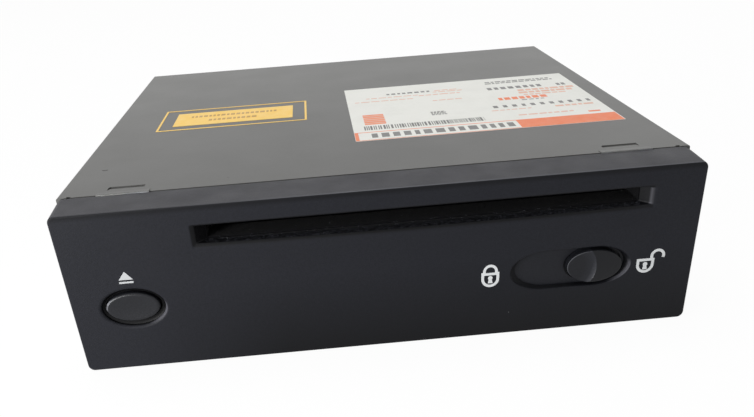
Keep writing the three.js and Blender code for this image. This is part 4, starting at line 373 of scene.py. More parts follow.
def face_finish(name, colour):
    """The front's plastic: dust with a painted sheen on its top, painted shade low down, along the top edge and
    in the slot and wells, painted highlights on their lips and along the top edge, and stray specks.
    """
    finish = moulded_finish(name, colour, specular=0.15)
    along, product = finish.along, finish.product
    # Painted shade: the face darker towards the bottom, except at its left end.
    finish.tint(product(along("Z", 0, 26, 0.95, 0.0), along("X", -75, -30)), 0.2)
    # Painted shade along the face's upper edge.
    finish.tint(along("Z", TOP_Z - 2, TOP_Z - 0.8, 0.0, 0.7), 0.2)
    # Dust and a painted sheen: the top is lighter where it faces up, in patches.
    topside = along("Z", TOP_Z - 1.2, TOP_Z - 0.3)
    patchy = finish.span(finish.noise(8, 4.0), 0.2, 0.7, 0.65, 1.0)
    finish.tint(product(finish.facing("Z", 0.6), topside, patchy), srgb(62, 62, 66))

    off_middle = finish.math("ABSOLUTE", finish.at("X"))
    between = finish.span(off_middle, mm(HALF_WIDTH - 4), mm(HALF_WIDTH - 3), 1.0, 0.0)
    inside = product(between, along("Z", TOP_Z - 4, TOP_Z - 3, 1.0, 0.0))
    lip_depth = along("Z", 36, 38, mm(0.42), mm(0.07))
    behind_lip = finish.math("DIVIDE", finish.math("SUBTRACT", finish.at("Y"), FACE_Y), lip_depth)
    felt_low, felt_high = box_of("felt_lower")
    slot_end = (felt_low.x + felt_high.x) / 2 + sizes("face").slot_width / 2
    # Painted shade in the slot: dark behind its lips, less towards its right end, and none on that end's lip.
    finish.tint(product(inside, along("Z", 30, 31), finish.span(behind_lip, 0.0, 1.0),
                        along("X", slot_end - 6, slot_end, 0.9, 0.65),
                        along("X", slot_end - 0.4, slot_end + 0.2, 1.0, 0.0)), 0.1)
    # Painted shade in the wells of the button and the knob, deeper than their lips.
    finish.tint(product(inside, along("Z", 30, 31, 1.0, 0.0), along("Y", 0.35, 0.85),
                        along("X", -50, 0, 0.97, 0.6), along("X", 58, 64, 1.0, 0.7)), 0.1)

    # Painted highlights on the lips of the slot and the wells, where they face up and to the left.
    lit = finish.toward((-0.8, -0.45, 0.4), 0.72, 0.9)
    finish.tint(product(inside, along("Y", 0.7, 1.1, 1.0, 0.0), lit), srgb(86, 86, 92))
    # Painted highlight along the face's top edge, stronger towards the right.
    edge = product(finish.toward((0.0, -0.5, 0.87), 0.9, 0.99), along("X", -60, -10, 0.0, 0.6))
    finish.tint(product(edge, topside), srgb(104, 105, 110))
    finish.specks(9, 0.16, 0.14, srgb(112, 112, 114), "Y")
    finish.specks(27, 0.24, 0.3, srgb(140, 140, 142), "Y")
    return finish


def rim_highlight_finish(name, colour, specular):
    """The plastic of the button and the knob, with a painted highlight on its rim on the side of the light."""
    finish = moulded_finish(name, colour, 0.34, 0.2, specular)
    # Painted highlight, in patches, where the rim faces up and to the left.
    rim = finish.toward((-0.6, -0.74, 0.3), 0.88, 0.97)
    finish.tint(finish.product(rim, finish.noise(0.8, 2.0)), srgb(150, 152, 158))
    return finish


def knob_finish(name, colour):
    """The knob's plastic: a painted highlight in the dish towards the curved ridge, painted shade on the pad
    beyond it, and a painted highlight on the upper left of its rim.
    """
    finish = rim_highlight_finish(name, colour, 0.21)
    (middle, _, height), half = oval_of("lock_knob", KNOB_INSET)
    reach = finish.oval_reach((middle - DISH_SHIFT, height), DISH_RADII)
    rim = finish.oval_reach((middle, height), half)
    front = finish.along("Y", 0, 1.2, 1.0, 0.0)
    # Painted highlight in the dish, growing towards the ridge.
    dish = finish.product(finish.span(reach, 0.55, 0.98, 0.0, 0.9), finish.span(reach, 0.985, 1.0, 1.0, 0.0))
    finish.tint(finish.product(front, dish), 2.4)
    # Painted shade on the pad beyond the ridge.
    finish.tint(finish.span(reach, 0.985, 1.0, 0.0, 0.6), 0.5)
    # Painted highlight on the upper left of the rim.
    rim_line = finish.product(finish.span(rim, 0.955, 0.985), finish.span(rim, 0.99, 1.0, 1.0, 0.0))
    upper_left = finish.product(finish.along("X", middle - 5, middle - 1, 1.0, 0.0),
                                finish.along("Z", height - 3, height + 1))
    finish.tint(finish.product(front, rim_line, upper_left), srgb(130, 132, 138))
    return finish


def painted_finish(name, colour):
    """Satin paint on sheet steel: orange peel, faint smears, scuffs and dust, with painted shade on its top
    towards the front and painted light towards its rear and right.
    """
    finish = Finish(name, colour, 0.42, Specular_IOR_Level=0.5)
    finish.grain(0.5, 3.0, 0.02, 0.6)
    finish.grain(3, 2.0, 0.02, 0.3)
    finish.cloud(0.35, 2.0, (0.3, 0.7), 0.35, 0.8)
    finish.cloud(1.3, 4.0, (0.4, 0.66), 0.3, 0.84)
    finish.cloud(28, 5.0, (0.5, 0.8), 0.06, 1.12, stretch=(1, 1.6, 1))
    finish.specks(5, 0.28, 0.22, 0.55)
    finish.specks(11, 0.5, 0.22, 0.5)
    finish.specks(8, 0.24, 0.2, 1.5)
    finish.specks(37, 0.5, 0.3, 0.45, drawn=3)
    # Painted shade on the top, towards the front.
    finish.tint(finish.product(finish.facing("Z", 0.9), finish.along("Y", 0, 108.05, 0.2, 0.0)), 0.1)
    # Painted light towards the rear.
    finish.tint(finish.along("Y", 78.05, 175.05, 0.0, 0.13), 2.0)
    # Painted light towards the right.
    finish.tint(finish.along("X", 20, 85, 0.0, 0.13), 2.0)
    return finish.wear(18, 4.0, 0.41, 0.45)


def plated_finish(name, colour, roughness=0.32):
    """Zinc-plated sheet: rolling lines, a cloudy passivation and fine scratches."""
    finish = Finish(name, colour, roughness, 0.9)
    finish.cloud(16, 4.0, (0.35, 0.7), 0.5, srgb(176, 174, 158))
    finish.cloud(9, 5.0, (0.5, 0.75), 0.4, srgb(164, 172, 186), distortion=0.6)
    finish.grain(0.4, 2.0, 0.01, 0.35, stretch=(24, 1, 1))
    finish.grain(0.9, 2.0, 0.01, 0.3)
    return finish.wear(5, 4.0, roughness - 0.07, roughness + 0.13)


def turned_finish(name, colour, roughness=0.18):
    """Ground and turned steel, with the grinding's fine rings."""
    finish = Finish(name, colour, roughness, 1.0)
    finish.grain(0.12, 2.0, 0.004, 0.5, stretch=(1, 12, 12))
    finish.cloud(4, 3.0, (0.4, 0.7), 0.25, 0.75)
    return finish.wear(1.5, 3.0, roughness - 0.05, roughness + 0.1)


def acetal_finish(name, colour):
    """Milky gear plastic, slightly translucent, with a smear of grease."""
    finish = Finish(name, colour, 0.36, Subsurface_Weight=0.15, Subsurface_Scale=mm(1.5))
    finish.cloud(5, 3.0, (0.4, 0.75), 0.35, 0.88)
    finish.grain(1.2, 2.0, 0.02, 0.3)
    return finish.wear(3, 3.0, 0.25, 0.5)


def rubber_finish(name, colour):
    """Matt rubber with a powdery bloom."""
    finish = Finish(name, colour, 0.85, Specular_IOR_Level=0.25)
    finish.cloud(2.5, 4.0, (0.45, 0.75), 0.5, 1.9)
    finish.grain(0.2, 3.0, 0.03, 0.8)
    return finish.wear(2, 3.0, 0.75, 0.95)


def felt_finish(name, colour):
    """Black felt: tangled, with a soft sheen."""
    finish = Finish(name, colour, 0.95, Sheen_Weight=0.04, Sheen_Roughness=0.5, Specular_IOR_Level=0.05)
    finish.cloud(0.25, 4.0, (0.45, 0.75), 0.7, 2.2, distortion=1.5)
    finish.grain(0.16, 4.0, 0.12, 1.0, distortion=1.0)
    return finish.wear(0.5, 3.0, 0.85, 1.0)


def board_finish(name, colour):
    """Green solder resist over copper tracks, with pale pads."""
    finish = Finish(name, colour, 0.35)
    for stretch in ((9, 1, 1), (1, 9, 1)):
        tracks = finish.span(finish.noise(2.2, 0.0, stretch), 0.52, 0.55, 0.0, 0.55)
        finish.tint(tracks, 1.8)
        finish.bump(tracks, 0.03, 0.5)
    finish.specks(3.1, 0.45, 0.3, srgb(196, 190, 150))
    finish.specks(4.7, 0.3, 0.3, srgb(225, 226, 220))
    return finish.wear(4, 3.0, 0.28, 0.45)


def cast_finish(name, colour):
    """Die-cast alloy, tumbled, with darker recesses."""
    finish = Finish(name, colour, 0.5, 0.85)
    finish.cloud(3.5, 5.0, (0.4, 0.75), 0.5, 0.65)
    finish.grain(0.5, 4.0, 0.05, 0.6)
    return finish.wear(2, 4.0, 0.4, 0.62)


def lens_finish(name, colour):
    """A coated glass lens."""
    finish = Finish(name, colour, 0.03, Transmission_Weight=0.8, IOR=1.52, Coat_Weight=0.6)
    finish.cloud(1.4, 1.0, (0.35, 0.65), 0.7, srgb(120, 90, 190))
    return finish


def package_finish(name, colour):
    """Moulded chip packages and dark inner plastic."""
    finish = Finish(name, colour, 0.6)
    finish.grain(0.3, 2.0, 0.03, 0.6)
    finish.cloud(6, 3.0, (0.45, 0.7), 0.4, 1.5)
    return finish.wear(3, 3.0, 0.5, 0.7)


def cable_finish(name, colour):
    """A flat cable: pale film over a row of tinned conductors."""
    finish = Finish(name, colour, 0.3)
    wave = finish.add("ShaderNodeTexWave", bands_direction="X")
    finish.link(finish.coordinates, wave.inputs["Vector"])
    wave.inputs["Scale"].default_value = 1 / mm(3.2)
    finish.tint(finish.span(wave.outputs[1], 0.4, 0.6, 0.0, 0.6), srgb(150, 150, 146))
    return finish.wear(2, 2.0, 0.22, 0.4)


def ink_finish(name, colour, roughness=0.45):
    """A printed film, a little uneven in its cover."""
    finish = Finish(name, colour, roughness, Specular_IOR_Level=0.3)
    finish.cloud(0.3, 3.0, (0.5, 0.8), 0.35, 0.72)
    finish.cloud(5, 3.0, (0.45, 0.75), 0.3, 0.9)
    finish.grain(0.5, 2.0, 0.01, 0.3)
    return finish.wear(3, 3.0, roughness - 0.08, roughness + 0.1)


def paper_finish(name, colour):
    """Coated label paper, slightly creased and rubbed."""
    finish = Finish(name, colour, 0.4, Specular_IOR_Level=0.3)
    finish.cloud(14, 5.0, (0.5, 0.75), 0.5, 0.9, distortion=0.8)
    finish.cloud(1.2, 4.0, (0.55, 0.85), 0.4, 0.86)
    finish.bump(finish.span(finish.noise(9, 6.0, distortion=2.0), 0.48, 0.52), 0.03, 0.35)
    return finish.wear(6, 4.0, 0.32, 0.5)


def all_finishes():
    """The finish of each slot of the record, and of the prints."""
    colours = settings().colours
    return {
        "bezel": face_finish("moulded_face", colours.face),
        "cover": painted_finish("cover_paint", colours.cover),
        "case_steel": plated_finish("zinc_plated_sheet", colours.steel),
        "socket_plastic": package_finish("socket_nylon", srgb(46, 46, 49)),
        "screw_steel": plated_finish("zinc_plated_screw", srgb(205, 206, 204), 0.26),
        "felt": felt_finish("black_felt", srgb(15, 15, 17)),
        "fluff": felt_finish("grey_fluff", srgb(50, 51, 56)),
        "plate": moulded_finish("moulded_plate", shade(colours.face, 0.8), specular=0.2),
        "button_plastic": rim_highlight_finish("button_plastic", colours.knob, 0.28),
        "knob": knob_finish("knob_plastic", colours.knob),
        "switch_body": package_finish("switch_plastic", srgb(52, 52, 55)),
        "natural_plastic": acetal_finish("natural_acetal", srgb(232, 228, 214)),
        "board": board_finish("solder_resist", srgb(30, 92, 62)),
        "chip": package_finish("chip_package", srgb(40, 41, 43)),
        "cable": cable_finish("flat_cable_film", srgb(228, 228, 220)),
        "frame_steel": plated_finish("pressed_steel", srgb(186, 188, 190), 0.36),
        "black_inner": package_finish("black_acetal", srgb(38, 38, 41)),
        "motor_can": plated_finish("drawn_motor_can", srgb(178, 178, 176), 0.3),
        "shaft_steel": turned_finish("ground_shaft", srgb(214, 215, 216)),
        "rubber": rubber_finish("roller_rubber", srgb(40, 40, 41)),
        "cast": cast_finish("die_cast_alloy", srgb(168, 170, 172)),
        "lens": lens_finish("coated_lens", srgb(196, 214, 244)),
        "pins": turned_finish("tinned_pin", srgb(212, 196, 140), 0.25),
        "paper": paper_finish("label_paper", colours.label),
        "orange": ink_finish("orange_print", colours.orange),
        "pale_orange": ink_finish("pale_orange_print", srgb(226, 178, 158)),
        "grey_print": ink_finish("grey_print", srgb(112, 112, 110)),
        "dark_print": ink_finish("dark_print", srgb(126, 126, 124)),
        "brown_print": ink_finish("brown_print", srgb(190, 150, 84)),
        "yellow": ink_finish("yellow_print", colours.yellow, 0.38),
        "sign": ink_finish("sign_ink", colours.ink, 0.5),
        # The sign ink made lighter for the padlocks: painted light.
        "painted_light_sign": ink_finish("painted_light_sign_ink", shade(colours.ink, 1.6), 0.5),
        "lint": ink_finish("pale_lint", srgb(96, 98, 102), 0.9),
    }


# Meshes

def block(bm, across, depth, height):
    """A box between limits."""
    low = place(across[0], depth[0], height[0])
    high = place(across[1], depth[1], height[1])
    matrix = Matrix.Translation((low + high) / 2) @ Matrix.Diagonal((*(high - low), 1))
    bmesh.ops.create_cube(bm, size=1.0, matrix=matrix)


AXES = {
    "X": (Vector((1, 0, 0)), Vector((0, 0, 1))),
    "Y": (Vector((0, 1, 0)), Vector((0, 0, 1))),
    "Z": (Vector((0, 0, 1)), Vector((1, 0, 0))),
}


def turned(bm, profile, centre, axis, sides=48):
    """A turned form: pairs of radius and distance along the axis from the centre."""
    along, out = AXES[axis]
    verts = [bm.verts.new(centre + along * mm(reach) + out * mm(radius)) for radius, reach in profile]
    edges = [bm.edges.new(pair) for pair in zip(verts, verts[1:])]
    bmesh.ops.spin(bm, geom=verts + edges, cent=centre, axis=along, dvec=(0, 0, 0),
                   angle=2 * math.pi, steps=sides, use_merge=True, use_duplicate=False)
    bmesh.ops.remove_doubles(bm, verts=bm.verts, dist=mm(0.0005))
    bmesh.ops.recalc_face_normals(bm, faces=bm.faces)


def bar(bm, radius, start, end, sides=32, tip=None):
    """A round bar from one point to another."""
    along = end - start
    matrix = Matrix.Translation((start + end) / 2) @ along.to_track_quat("Z", "Y").to_matrix().to_4x4()
    bmesh.ops.create_cone(bm, cap_ends=True, segments=sides, radius1=mm(radius),
                          radius2=mm(radius if tip is None else tip), depth=along.length, matrix=matrix)


def lofted(bm, rings):
    """A skin over rings of like points, closed at both ends."""
    loops = []
    for points in rings:
        verts = [bm.verts.new(point) for point in points]
        loops.append([bm.edges.new(pair) for pair in zip(verts, verts[1:] + verts[:1])])
    for first, second in zip(loops, loops[1:]):
        bmesh.ops.bridge_loops(bm, edges=first + second)
    for end in (loops[0], loops[-1]):
        bmesh.ops.edgeloop_fill(bm, edges=end)
    bmesh.ops.recalc_face_normals(bm, faces=bm.faces)


def rounding(radius, steps):
    """The inset and the depth of each step of a quarter round, from the front to the side."""
    turns = [math.pi / 2 * step / steps for step in range(steps + 1)]
    return [(radius * (1 - math.sin(turn)), radius * (1 - math.cos(turn))) for turn in turns]


def grown(half, by):
    """Half sizes, made larger or smaller."""
    return tuple(size + by for size in half)


def around(middle, reach):
    """The limits that lie as far to either side of a middle."""
    return (middle - reach, middle + reach)


def oval_of(node, inset=(0.0, 0.0)):
    """The centre of a node, as oval() takes it, and half its sizes across and up less an inset."""
    low, high = box_of(node)
    middle = (low.x + high.x) / 2
    half = ((high.x - low.x) / 2 - inset[0], (high.z - low.z) / 2 - inset[1])
    return (middle, middle, (low.z + high.z) / 2), half


def oval(centre, half, depth, sides=96):
    """An ellipse in a plane of constant depth; the centre may be drawn out to a left and a right one."""
    left, right, height = centre
    points = []
    for index in range(sides):
        turn = 2 * math.pi * (index + 0.5) / sides
        middle = left if math.cos(turn) < 0 else right
        points.append(place(middle + half[0] * math.cos(turn), depth, height + half[1] * math.sin(turn)))
    return points


def domed(centre, half, rim, front, dome, shares, steps):
    """Rings of an oval cap: its face, bent by the dome from the middle out, and its rounded rim."""
    rings = [oval(centre, [(size - rim) * share for size in half], front + dome * (1 - share ** 2))
             for share in shares]
    return rings + [oval(centre, grown(half, -inset), front + depth) for inset, depth in rounding(rim, steps)]


def round_corners(across, up, radii, steps):
    """A rectangle's outline with round corners: radii of its lower and upper ones."""
    corners = (
        (across[1], up[0], radii[0], -1), (across[1], up[1], radii[1], 0),
        (across[0], up[1], radii[1], 1), (across[0], up[0], radii[0], 2),
    )
    points = []
    for x, z, radius, quarter in corners:
        centre_x = x - radius if x == across[1] else x + radius
        centre_z = z + radius if z == up[0] else z - radius
        for step in range(steps + 1):
            turn = math.pi / 2 * (quarter + step / steps)
            points.append((centre_x + radius * math.cos(turn), centre_z + radius * math.sin(turn)))
    return points


def rounded_box(across, height, radii, depth, steps=8):
    """A rectangle with round corners in a plane of constant depth."""
    return [place(x, depth, z) for x, z in round_corners(across, height, radii, steps)]


def shaped(maker, *values):
    """An object from a function that adds to an empty mesh, for use as a solid or a cutter."""
    bm = bmesh.new()
    maker(bm, *values)
    bmesh.ops.recalc_face_normals(bm, faces=bm.faces)
    return linked(bm, "solid")


def linked(bm, name):
    """An object in the scene from a mesh that is being edited."""
    mesh = bpy.data.meshes.new(name)
    bm.to_mesh(mesh)
    bm.free()
    piece = bpy.data.objects.new(name, mesh)
    bpy.context.scene.collection.objects.link(piece)
    return piece


def combined(solid, operation, others):
    """The solid with the others joined to it or cut from it; the others are used up."""
    for other in others:
        modifier = solid.modifiers.new("step", "BOOLEAN")
        modifier.operation = operation
        modifier.solver = "EXACT"
        modifier.object = other
    bpy.context.view_layer.update()
    graph = bpy.context.evaluated_depsgraph_get()
    mesh = bpy.data.meshes.new_from_object(solid.evaluated_get(graph))
    solid.modifiers.clear()
    solid.data = mesh
    for other in others:
        bpy.data.objects.remove(other)
    return solid


def seat(piece, name, node=None, slot=None, finish=None, bevel=0.0, segments=2, angle=32.0):
    """Names a piece and finishes it by its slot unless a finish is named, rounds its edges, ties it to its body
    and hides its node.
    """
    body = BODY_OF[node] if node else "case"
    nodes = [node] if node else []
    slot = slot or SLOT_OF[node]
    piece.name = name
    mesh = piece.data
    mesh.name = name
    mesh.materials.clear()
    mesh.materials.append(FINISHES[finish or slot])
    mesh.polygons.foreach_set("use_smooth", [True] * len(mesh.polygons))
    mesh.set_sharp_from_angle(angle=math.radians(32.0))
    if bevel:
        modifier = piece.modifiers.new("edges", "BEVEL")
        modifier.width = mm(bevel)
        modifier.segments = segments
        modifier.limit_method = "ANGLE"
        modifier.angle_limit = math.radians(angle)
        modifier.miter_outer = "MITER_ARC"
        normals = piece.modifiers.new("normals", "WEIGHTED_NORMAL")
        normals.keep_sharp = True
    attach(piece, body)
    if nodes:
        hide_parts(*nodes)


def seat_new(bm, name, *values, **options):
    """A piece from a mesh that is being edited."""
    seat(linked(bm, name), name, *values, **options)


def node_copy(bm, node, whole=True):
    """The mesh of a node of the frame, with its flat faces whole unless they hold many holes."""
    bm.from_mesh(frame["nodes"][node].data)
    bmesh.ops.remove_doubles(bm, verts=bm.verts, dist=mm(0.001))
    if whole:
        bmesh.ops.dissolve_limit(bm, angle_limit=math.radians(0.4), verts=bm.verts, edges=bm.edges)


def edged_copy(node, bevel, whole=True):
    """A copy of a node of the frame whose edges are rounded, in the node's place."""
    bm = bmesh.new()
    node_copy(bm, node, whole)
    seat_new(bm, f"{node}_edged", node, bevel=bevel)


# The moulded front

def face_outline(inset, depth, half):
    """The front's outline, drawn in by an inset."""
    face = sizes("face")
    radii = (max(face.bottom_radius - inset, 0.4), max(face.top_radius - inset, 0.4))
    return rounded_box((inset - half, half - inset), (inset, TOP_Z - inset), radii, depth)


def front_shell():
    """The front's outer form with its rounded edge, hollow behind the face."""
    face = sizes("face")
    straight, wall = 3.4, 2.2
    rings = [face_outline(inset, depth, face.width / 2) for inset, depth in rounding(face.edge_radius, 6)]
    rings += [face_outline(0.0, depth, HALF_WIDTH) for depth in (face.depth - straight, face.depth)]
    hollow = [rounded_box(around(0, face.width / 2 - wall), (wall, TOP_Z - wall), (1, 1), depth, 4)
              for depth in (face.wall, face.depth + wall)]
    return combined(shaped(lofted, rings), "DIFFERENCE", [shaped(lofted, hollow)])


def slot_floor(across):
    """How far the slot's lower edge is bowed down at a place across."""
    face = sizes("face")
    share = min(abs(2 * across / face.slot_width), 1.0)
    return face.slot_bow * (1 - share ** 2)


def slot_cutter():
    """The disc slot: a flared mouth with rounded lips, bowed below, and the straight throat."""
    face = sizes("face")
    felt_low, felt_high = box_of("felt_lower")[0], box_of("felt_upper")[1]
    middle_x, middle_z = (felt_low.x + felt_high.x) / 2, (felt_low.z + felt_high.z) / 2
    half_throat = face.throat_height / 2
    spread = (face.slot_width - face.throat_width) / 2
    corner = 0.5
    steps = 32
    rings = []

    def add(depth, share, bowed=True):
        half = face.slot_width / 2 - spread * min(max(depth, 0.0), SLOT_FLARE) / SLOT_FLARE + face.end_lip * share
        floor = middle_z - half_throat - face.lower_lip * share
        points = rounded_box(around(middle_x, half), (floor, middle_z + half_throat + face.upper_lip * share),
                             (corner, corner), depth, 3)
        for step in range(1, steps):
            across = (half - corner) * (2 * step / steps - 1)
            points.append(place(middle_x + across, depth, floor - (slot_floor(across) if bowed else 0.0)))
        rings.append(points)

    add(-2, 1.0)
    for share, depth in rounding(1.0, 8):
        add(face.lip_depth * depth, share)
    add(SLOT_FLARE, 0.0)
    add(SLOT_FLARE + 0.05, 0.0, False)
    add(14, 0.0, False)
    return shaped(lofted, rings)


def well_cutter(centre, half, depth, lip, draft, reach):
    """An oval well with a rounded lip and sloping walls, whose mouth reaches further left and down."""
    left, down = reach
    mouth = (centre[0] - left, centre[1], centre[2] - down / 2)
    wide = (half[0], half[1] + down / 2)
    rings = [oval(mouth, grown(wide, lip), -2)]
    rings += [oval(mouth, grown(wide, inset), sink) for inset, sink in rounding(lip, 6)]
    floor = (centre[0] - left / 2, centre[1], centre[2] - down / 4)
    rings.append(oval(floor, (half[0] - draft[0], half[1] + down / 4 - draft[1]), depth))
    return shaped(lofted, rings)


def oval_bar(centre, half, depths):
    """A straight oval solid between two depths."""
    return shaped(lofted, [oval(centre, half, depth) for depth in depths])


def button_shape():
    """Centre and half sizes of the eject button's cap."""
    (middle, _, height), half = oval_of("eject_button", (BUTTON_FLANGE - 0.2, BUTTON_FLANGE - 0.05))
    return (middle - BUTTON_SHIFT, middle - BUTTON_SHIFT, height), half


def front_moulding():
    """The whole front with its slot, wells, guides, stakes and hooks."""
    face, controls = sizes("face"), sizes("controls")
    felt_low, felt_high = box_of("felt_lower")[0], box_of("felt_upper")[1]
    plate_low, plate_high = box_of("lock_plate")
    button_oval, cap_half = button_shape()
    button_x, _, button_z = button_oval
    (knob_x, _, knob_z), knob_half = oval_of("lock_knob")
    gap, tunnel_wall, guide_wall, collar_wall = 0.3, 1.5, 1.6, 1.4
    inner = face.wall - gap
    pocket_x = (plate_low.x - LOCK_TRAVEL - gap, plate_high.x + gap)
    pocket_y = (1.7, 3.5)
    pocket_z = (plate_low.z - gap, plate_high.z + gap)
    guide_rear = pocket_y[1] + 1.2
    additions = [
        shaped(block, (felt_low.x - gap - tunnel_wall, felt_high.x + gap + tunnel_wall), (inner, 12),
               (felt_low.z - tunnel_wall, felt_high.z + tunnel_wall)),
        shaped(block, (pocket_x[0] - guide_wall, pocket_x[1] + guide_wall), (inner, guide_rear),
               (pocket_z[0] - guide_wall, pocket_z[1] + guide_wall)),
        oval_bar(button_oval, grown(cap_half, gap + collar_wall), (inner, 5)),
    ]
    board_stakes = [(across, height) for across in (-58, 80) for height in (10.5, 30.6)]
    for radius, start, end in ((2.6, inner, 10.7), (1.3, 5, 12.6)):
        for across, height in board_stakes:
            additions.append(shaped(bar, radius, place(across, start, height), place(across, end, height)))
    body = combined(front_shell(), "UNION", additions)

    cuts = [
        slot_cutter(),
        well_cutter((button_x, button_x + 0.3, button_z), grown(cap_half, controls.button_margin),
                    controls.button_well, 1.1, (0.6, 0.6), (0.0, 0.3)),
        oval_bar(button_oval, grown(cap_half, gap), (-2, 7)),
        well_cutter((knob_x - LOCK_TRAVEL, knob_x, knob_z), (knob_half[0] + 2.0, knob_half[1] + 0.5),
                    2, 0.65, (1.4, 0.3), (0.8, 0.5)),
        shaped(block, pocket_x, pocket_y, pocket_z),
        shaped(block, pocket_x, (2, guide_rear + 2), (plate_low.z + 1.2, plate_high.z - 1.2)),
        shaped(block, around(0, 89.6), (face.depth - 0.45, face.depth + 1), (TOP_Z - 1.3, TOP_Z + 2)),
    ]
    hooks = []
    for middle in (-HOOK_X, HOOK_X):
        cuts.append(shaped(block, around(middle, 7.8), (13.1, 16), (48.6, TOP_Z + 2)))
        for depth, height in (((10, 21), (47, 48.6)), ((18.75, 19.25), (48, 49.4)),
                              ((10, 21), (1.3, 2.9)), ((18.75, 19.25), (0.5, 2))):
            hooks.append(shaped(block, around(middle, 4.5), depth, height))
    body = combined(combined(body, "DIFFERENCE", cuts), "UNION", hooks)
    seat(body, "front_moulding", "front_bezel", bevel=0.12)


class DRIVE_OT_front(bpy.types.Operator):
    """Models the moulded front with its slot and wells."""

    bl_idname = "disc_drive.front"
    bl_label = "Moulded front"

    def execute(self, context):
        front_moulding()
        return {"FINISHED"}


# The eject button, the lock knob and its plate

def button_cap():
    """The eject button: a slightly hollowed cap with a rounded rim, on its flange and stem."""
    rear = box_of("eject_button")[1].y
    (stem_x, _, height), _ = oval_of("eject_button")
    centre, half = button_shape()
    rings = domed(centre, half, sizes("controls").button_rim, 0.0, 0.22, (0.05, 0.3, 0.6, 0.82, 0.92), 8)
    wide, inner = grown(half, BUTTON_FLANGE), grown(half, -1.4)
    flange_front, flange_rear, hollow_front = 5.3, 6.3, 1.7
    for outline, depth in ((half, flange_front), (wide, flange_front), (wide, flange_rear),
                           (inner, flange_rear), (inner, hollow_front)):
        rings.append(oval(centre, outline, depth))
    rings += [oval((stem_x, stem_x, height), (2, 2), depth) for depth in (hollow_front, rear - 0.04)]
    seat(shaped(lofted, rings), "eject_button_cap", "eject_button", bevel=0.08)


def lock_knob():
    """The lock knob: an oval pad, dished on its left up to a curved ridge."""
    controls = sizes("controls")
    low, high = box_of("lock_knob")
    centre, half = oval_of("lock_knob", KNOB_INSET)
    front, crown = low.y + 0.15, 0.3
    rings = domed(centre, half, controls.knob_rim, front + crown, -crown, (0.05, 0.35, 0.65, 0.88), 7)
    rings.append(oval(centre, half, 1.7))
    sink = 0.1
    dish = place(centre[0] - DISH_SHIFT, front - sink, centre[2])
    knob = combined(shaped(lofted, rings), "DIFFERENCE", [shaped(dish_tool, dish, controls.knob_dish + sink)])
    stem = shaped(block, around(centre[0], 4), (1.2, high.y), around(centre[2], 2.2))
    seat(combined(knob, "UNION", [stem]), "lock_knob_pad", "lock_knob", finish="knob", bevel=0.2,
         segments=3, angle=18.0)


def lock_plate():
    """The plate behind the knob, with a groove around the knob."""
    centre, inner = oval_of("lock_knob", (0.6, 0.3))
    groove = oval_bar(centre, grown(inner, sizes("controls").knob_gap), (0.5, 2.7))
    groove = combined(groove, "DIFFERENCE", [oval_bar(centre, inner, (0.2, 3))])
    plate = combined(shaped(node_copy, "lock_plate"), "DIFFERENCE", [groove])
    seat(plate, "lock_plate_grooved", "lock_plate", finish="plate", bevel=0.12)


def dish_tool(bm, centre, depth):
    """A flat ball for the finger dish, whose right side leaves the curved ridge."""
    radii = (mm(DISH_RADII[0]), mm(depth), mm(DISH_RADII[1]), 1)
    shape = Matrix.Translation(centre) @ Matrix.Diagonal(radii)
    bmesh.ops.create_uvsphere(bm, u_segments=96, v_segments=64, radius=1.0, matrix=shape)


class DRIVE_OT_controls(bpy.types.Operator):
    """Models the eject button, the lock knob and the plate behind it."""

    bl_idname = "disc_drive.controls"
    bl_label = "Button and slider"

    def execute(self, context):
        button_cap()
        lock_knob()
        lock_plate()
        return {"FINISHED"}


# The felt strips in the slot

def leaning(rng, *limits):
    """A random direction, each part of it between limits."""
    return Vector([rng.uniform(*pair) for pair in limits]).normalized()


def felt_strip(node, up, seed):
    """One strip of felt with its loose fibres."""
    low, high = box_of(node)
    rng = random.Random(seed)
    edged_copy(node, 0.12)
    bm = bmesh.new()
    surface = high.z if up > 0 else low.z
    for _ in range(settings().felt.fibres):
        root = place(rng.uniform(low.x, high.x), rng.uniform(low.y, high.y), surface - up * 0.1)
        lean = leaning(rng, (-1, 1), (-1.2, 0.6), (up * 0.25, up * 0.9))
        bar(bm, 0.035, root, root + lean * mm(rng.uniform(0.4, 0.95)), 3, 0.012)
    seat_new(bm, f"{node}_fibres", slot="felt")


def lip_fluff():
    """Grey fluff on the slot's lower lip."""
    low, high = box_of("felt_lower")
    rng = random.Random(7)
    bm = bmesh.new()
    for _ in range(settings().felt.fibres * 2):
        depth = rng.uniform(0.35, 3.0)
        across = rng.uniform(low.x, high.x)
        root = place(across, depth, low.z + 0.02 - slot_floor(across - (low.x + high.x) / 2))
        lean = leaning(rng, (-1, 1), (-1, 0.5), (0.1, 0.6))
        bar(bm, 0.04, root, root + lean * mm(rng.uniform(0.3, 0.8)), 3, 0.02)
    seat_new(bm, "felt_fluff", slot="felt", finish="fluff")


def felt_ends():
    """Felt pads at the ends of the throat, and a thin dark felt sheet on the flare at its left, which stands in
    for that flare's shade: painted shade.
    """
    face = sizes("face")
    low, high = box_of("felt_lower")
    upper = box_of("felt_upper")[1]
    gap, pad, film = 0.02, 0.3, 0.06
    bm = bmesh.new()
    for across in ((low.x - pad, low.x - gap), (high.x + gap, high.x + pad)):
        block(bm, across, (3.1, 11.9), (low.z + gap, upper.z - gap))
    # A thin dark sheet on the left flare: painted shade.
    mouth = (low.x + high.x - face.slot_width) / 2
    slope = (face.slot_width - face.throat_width) / 2 / SLOT_FLARE
    outline = [(mouth + slope * depth + out, depth)
               for out, depth in ((0.0, 0.6), (0.0, SLOT_FLARE), (film, SLOT_FLARE), (film, 0.6))]
    lofted(bm, [[place(x, y, height) for x, y in outline] for height in (low.z + 0.1, upper.z - 0.1)])
    seat_new(bm, "felt_ends", slot="felt")


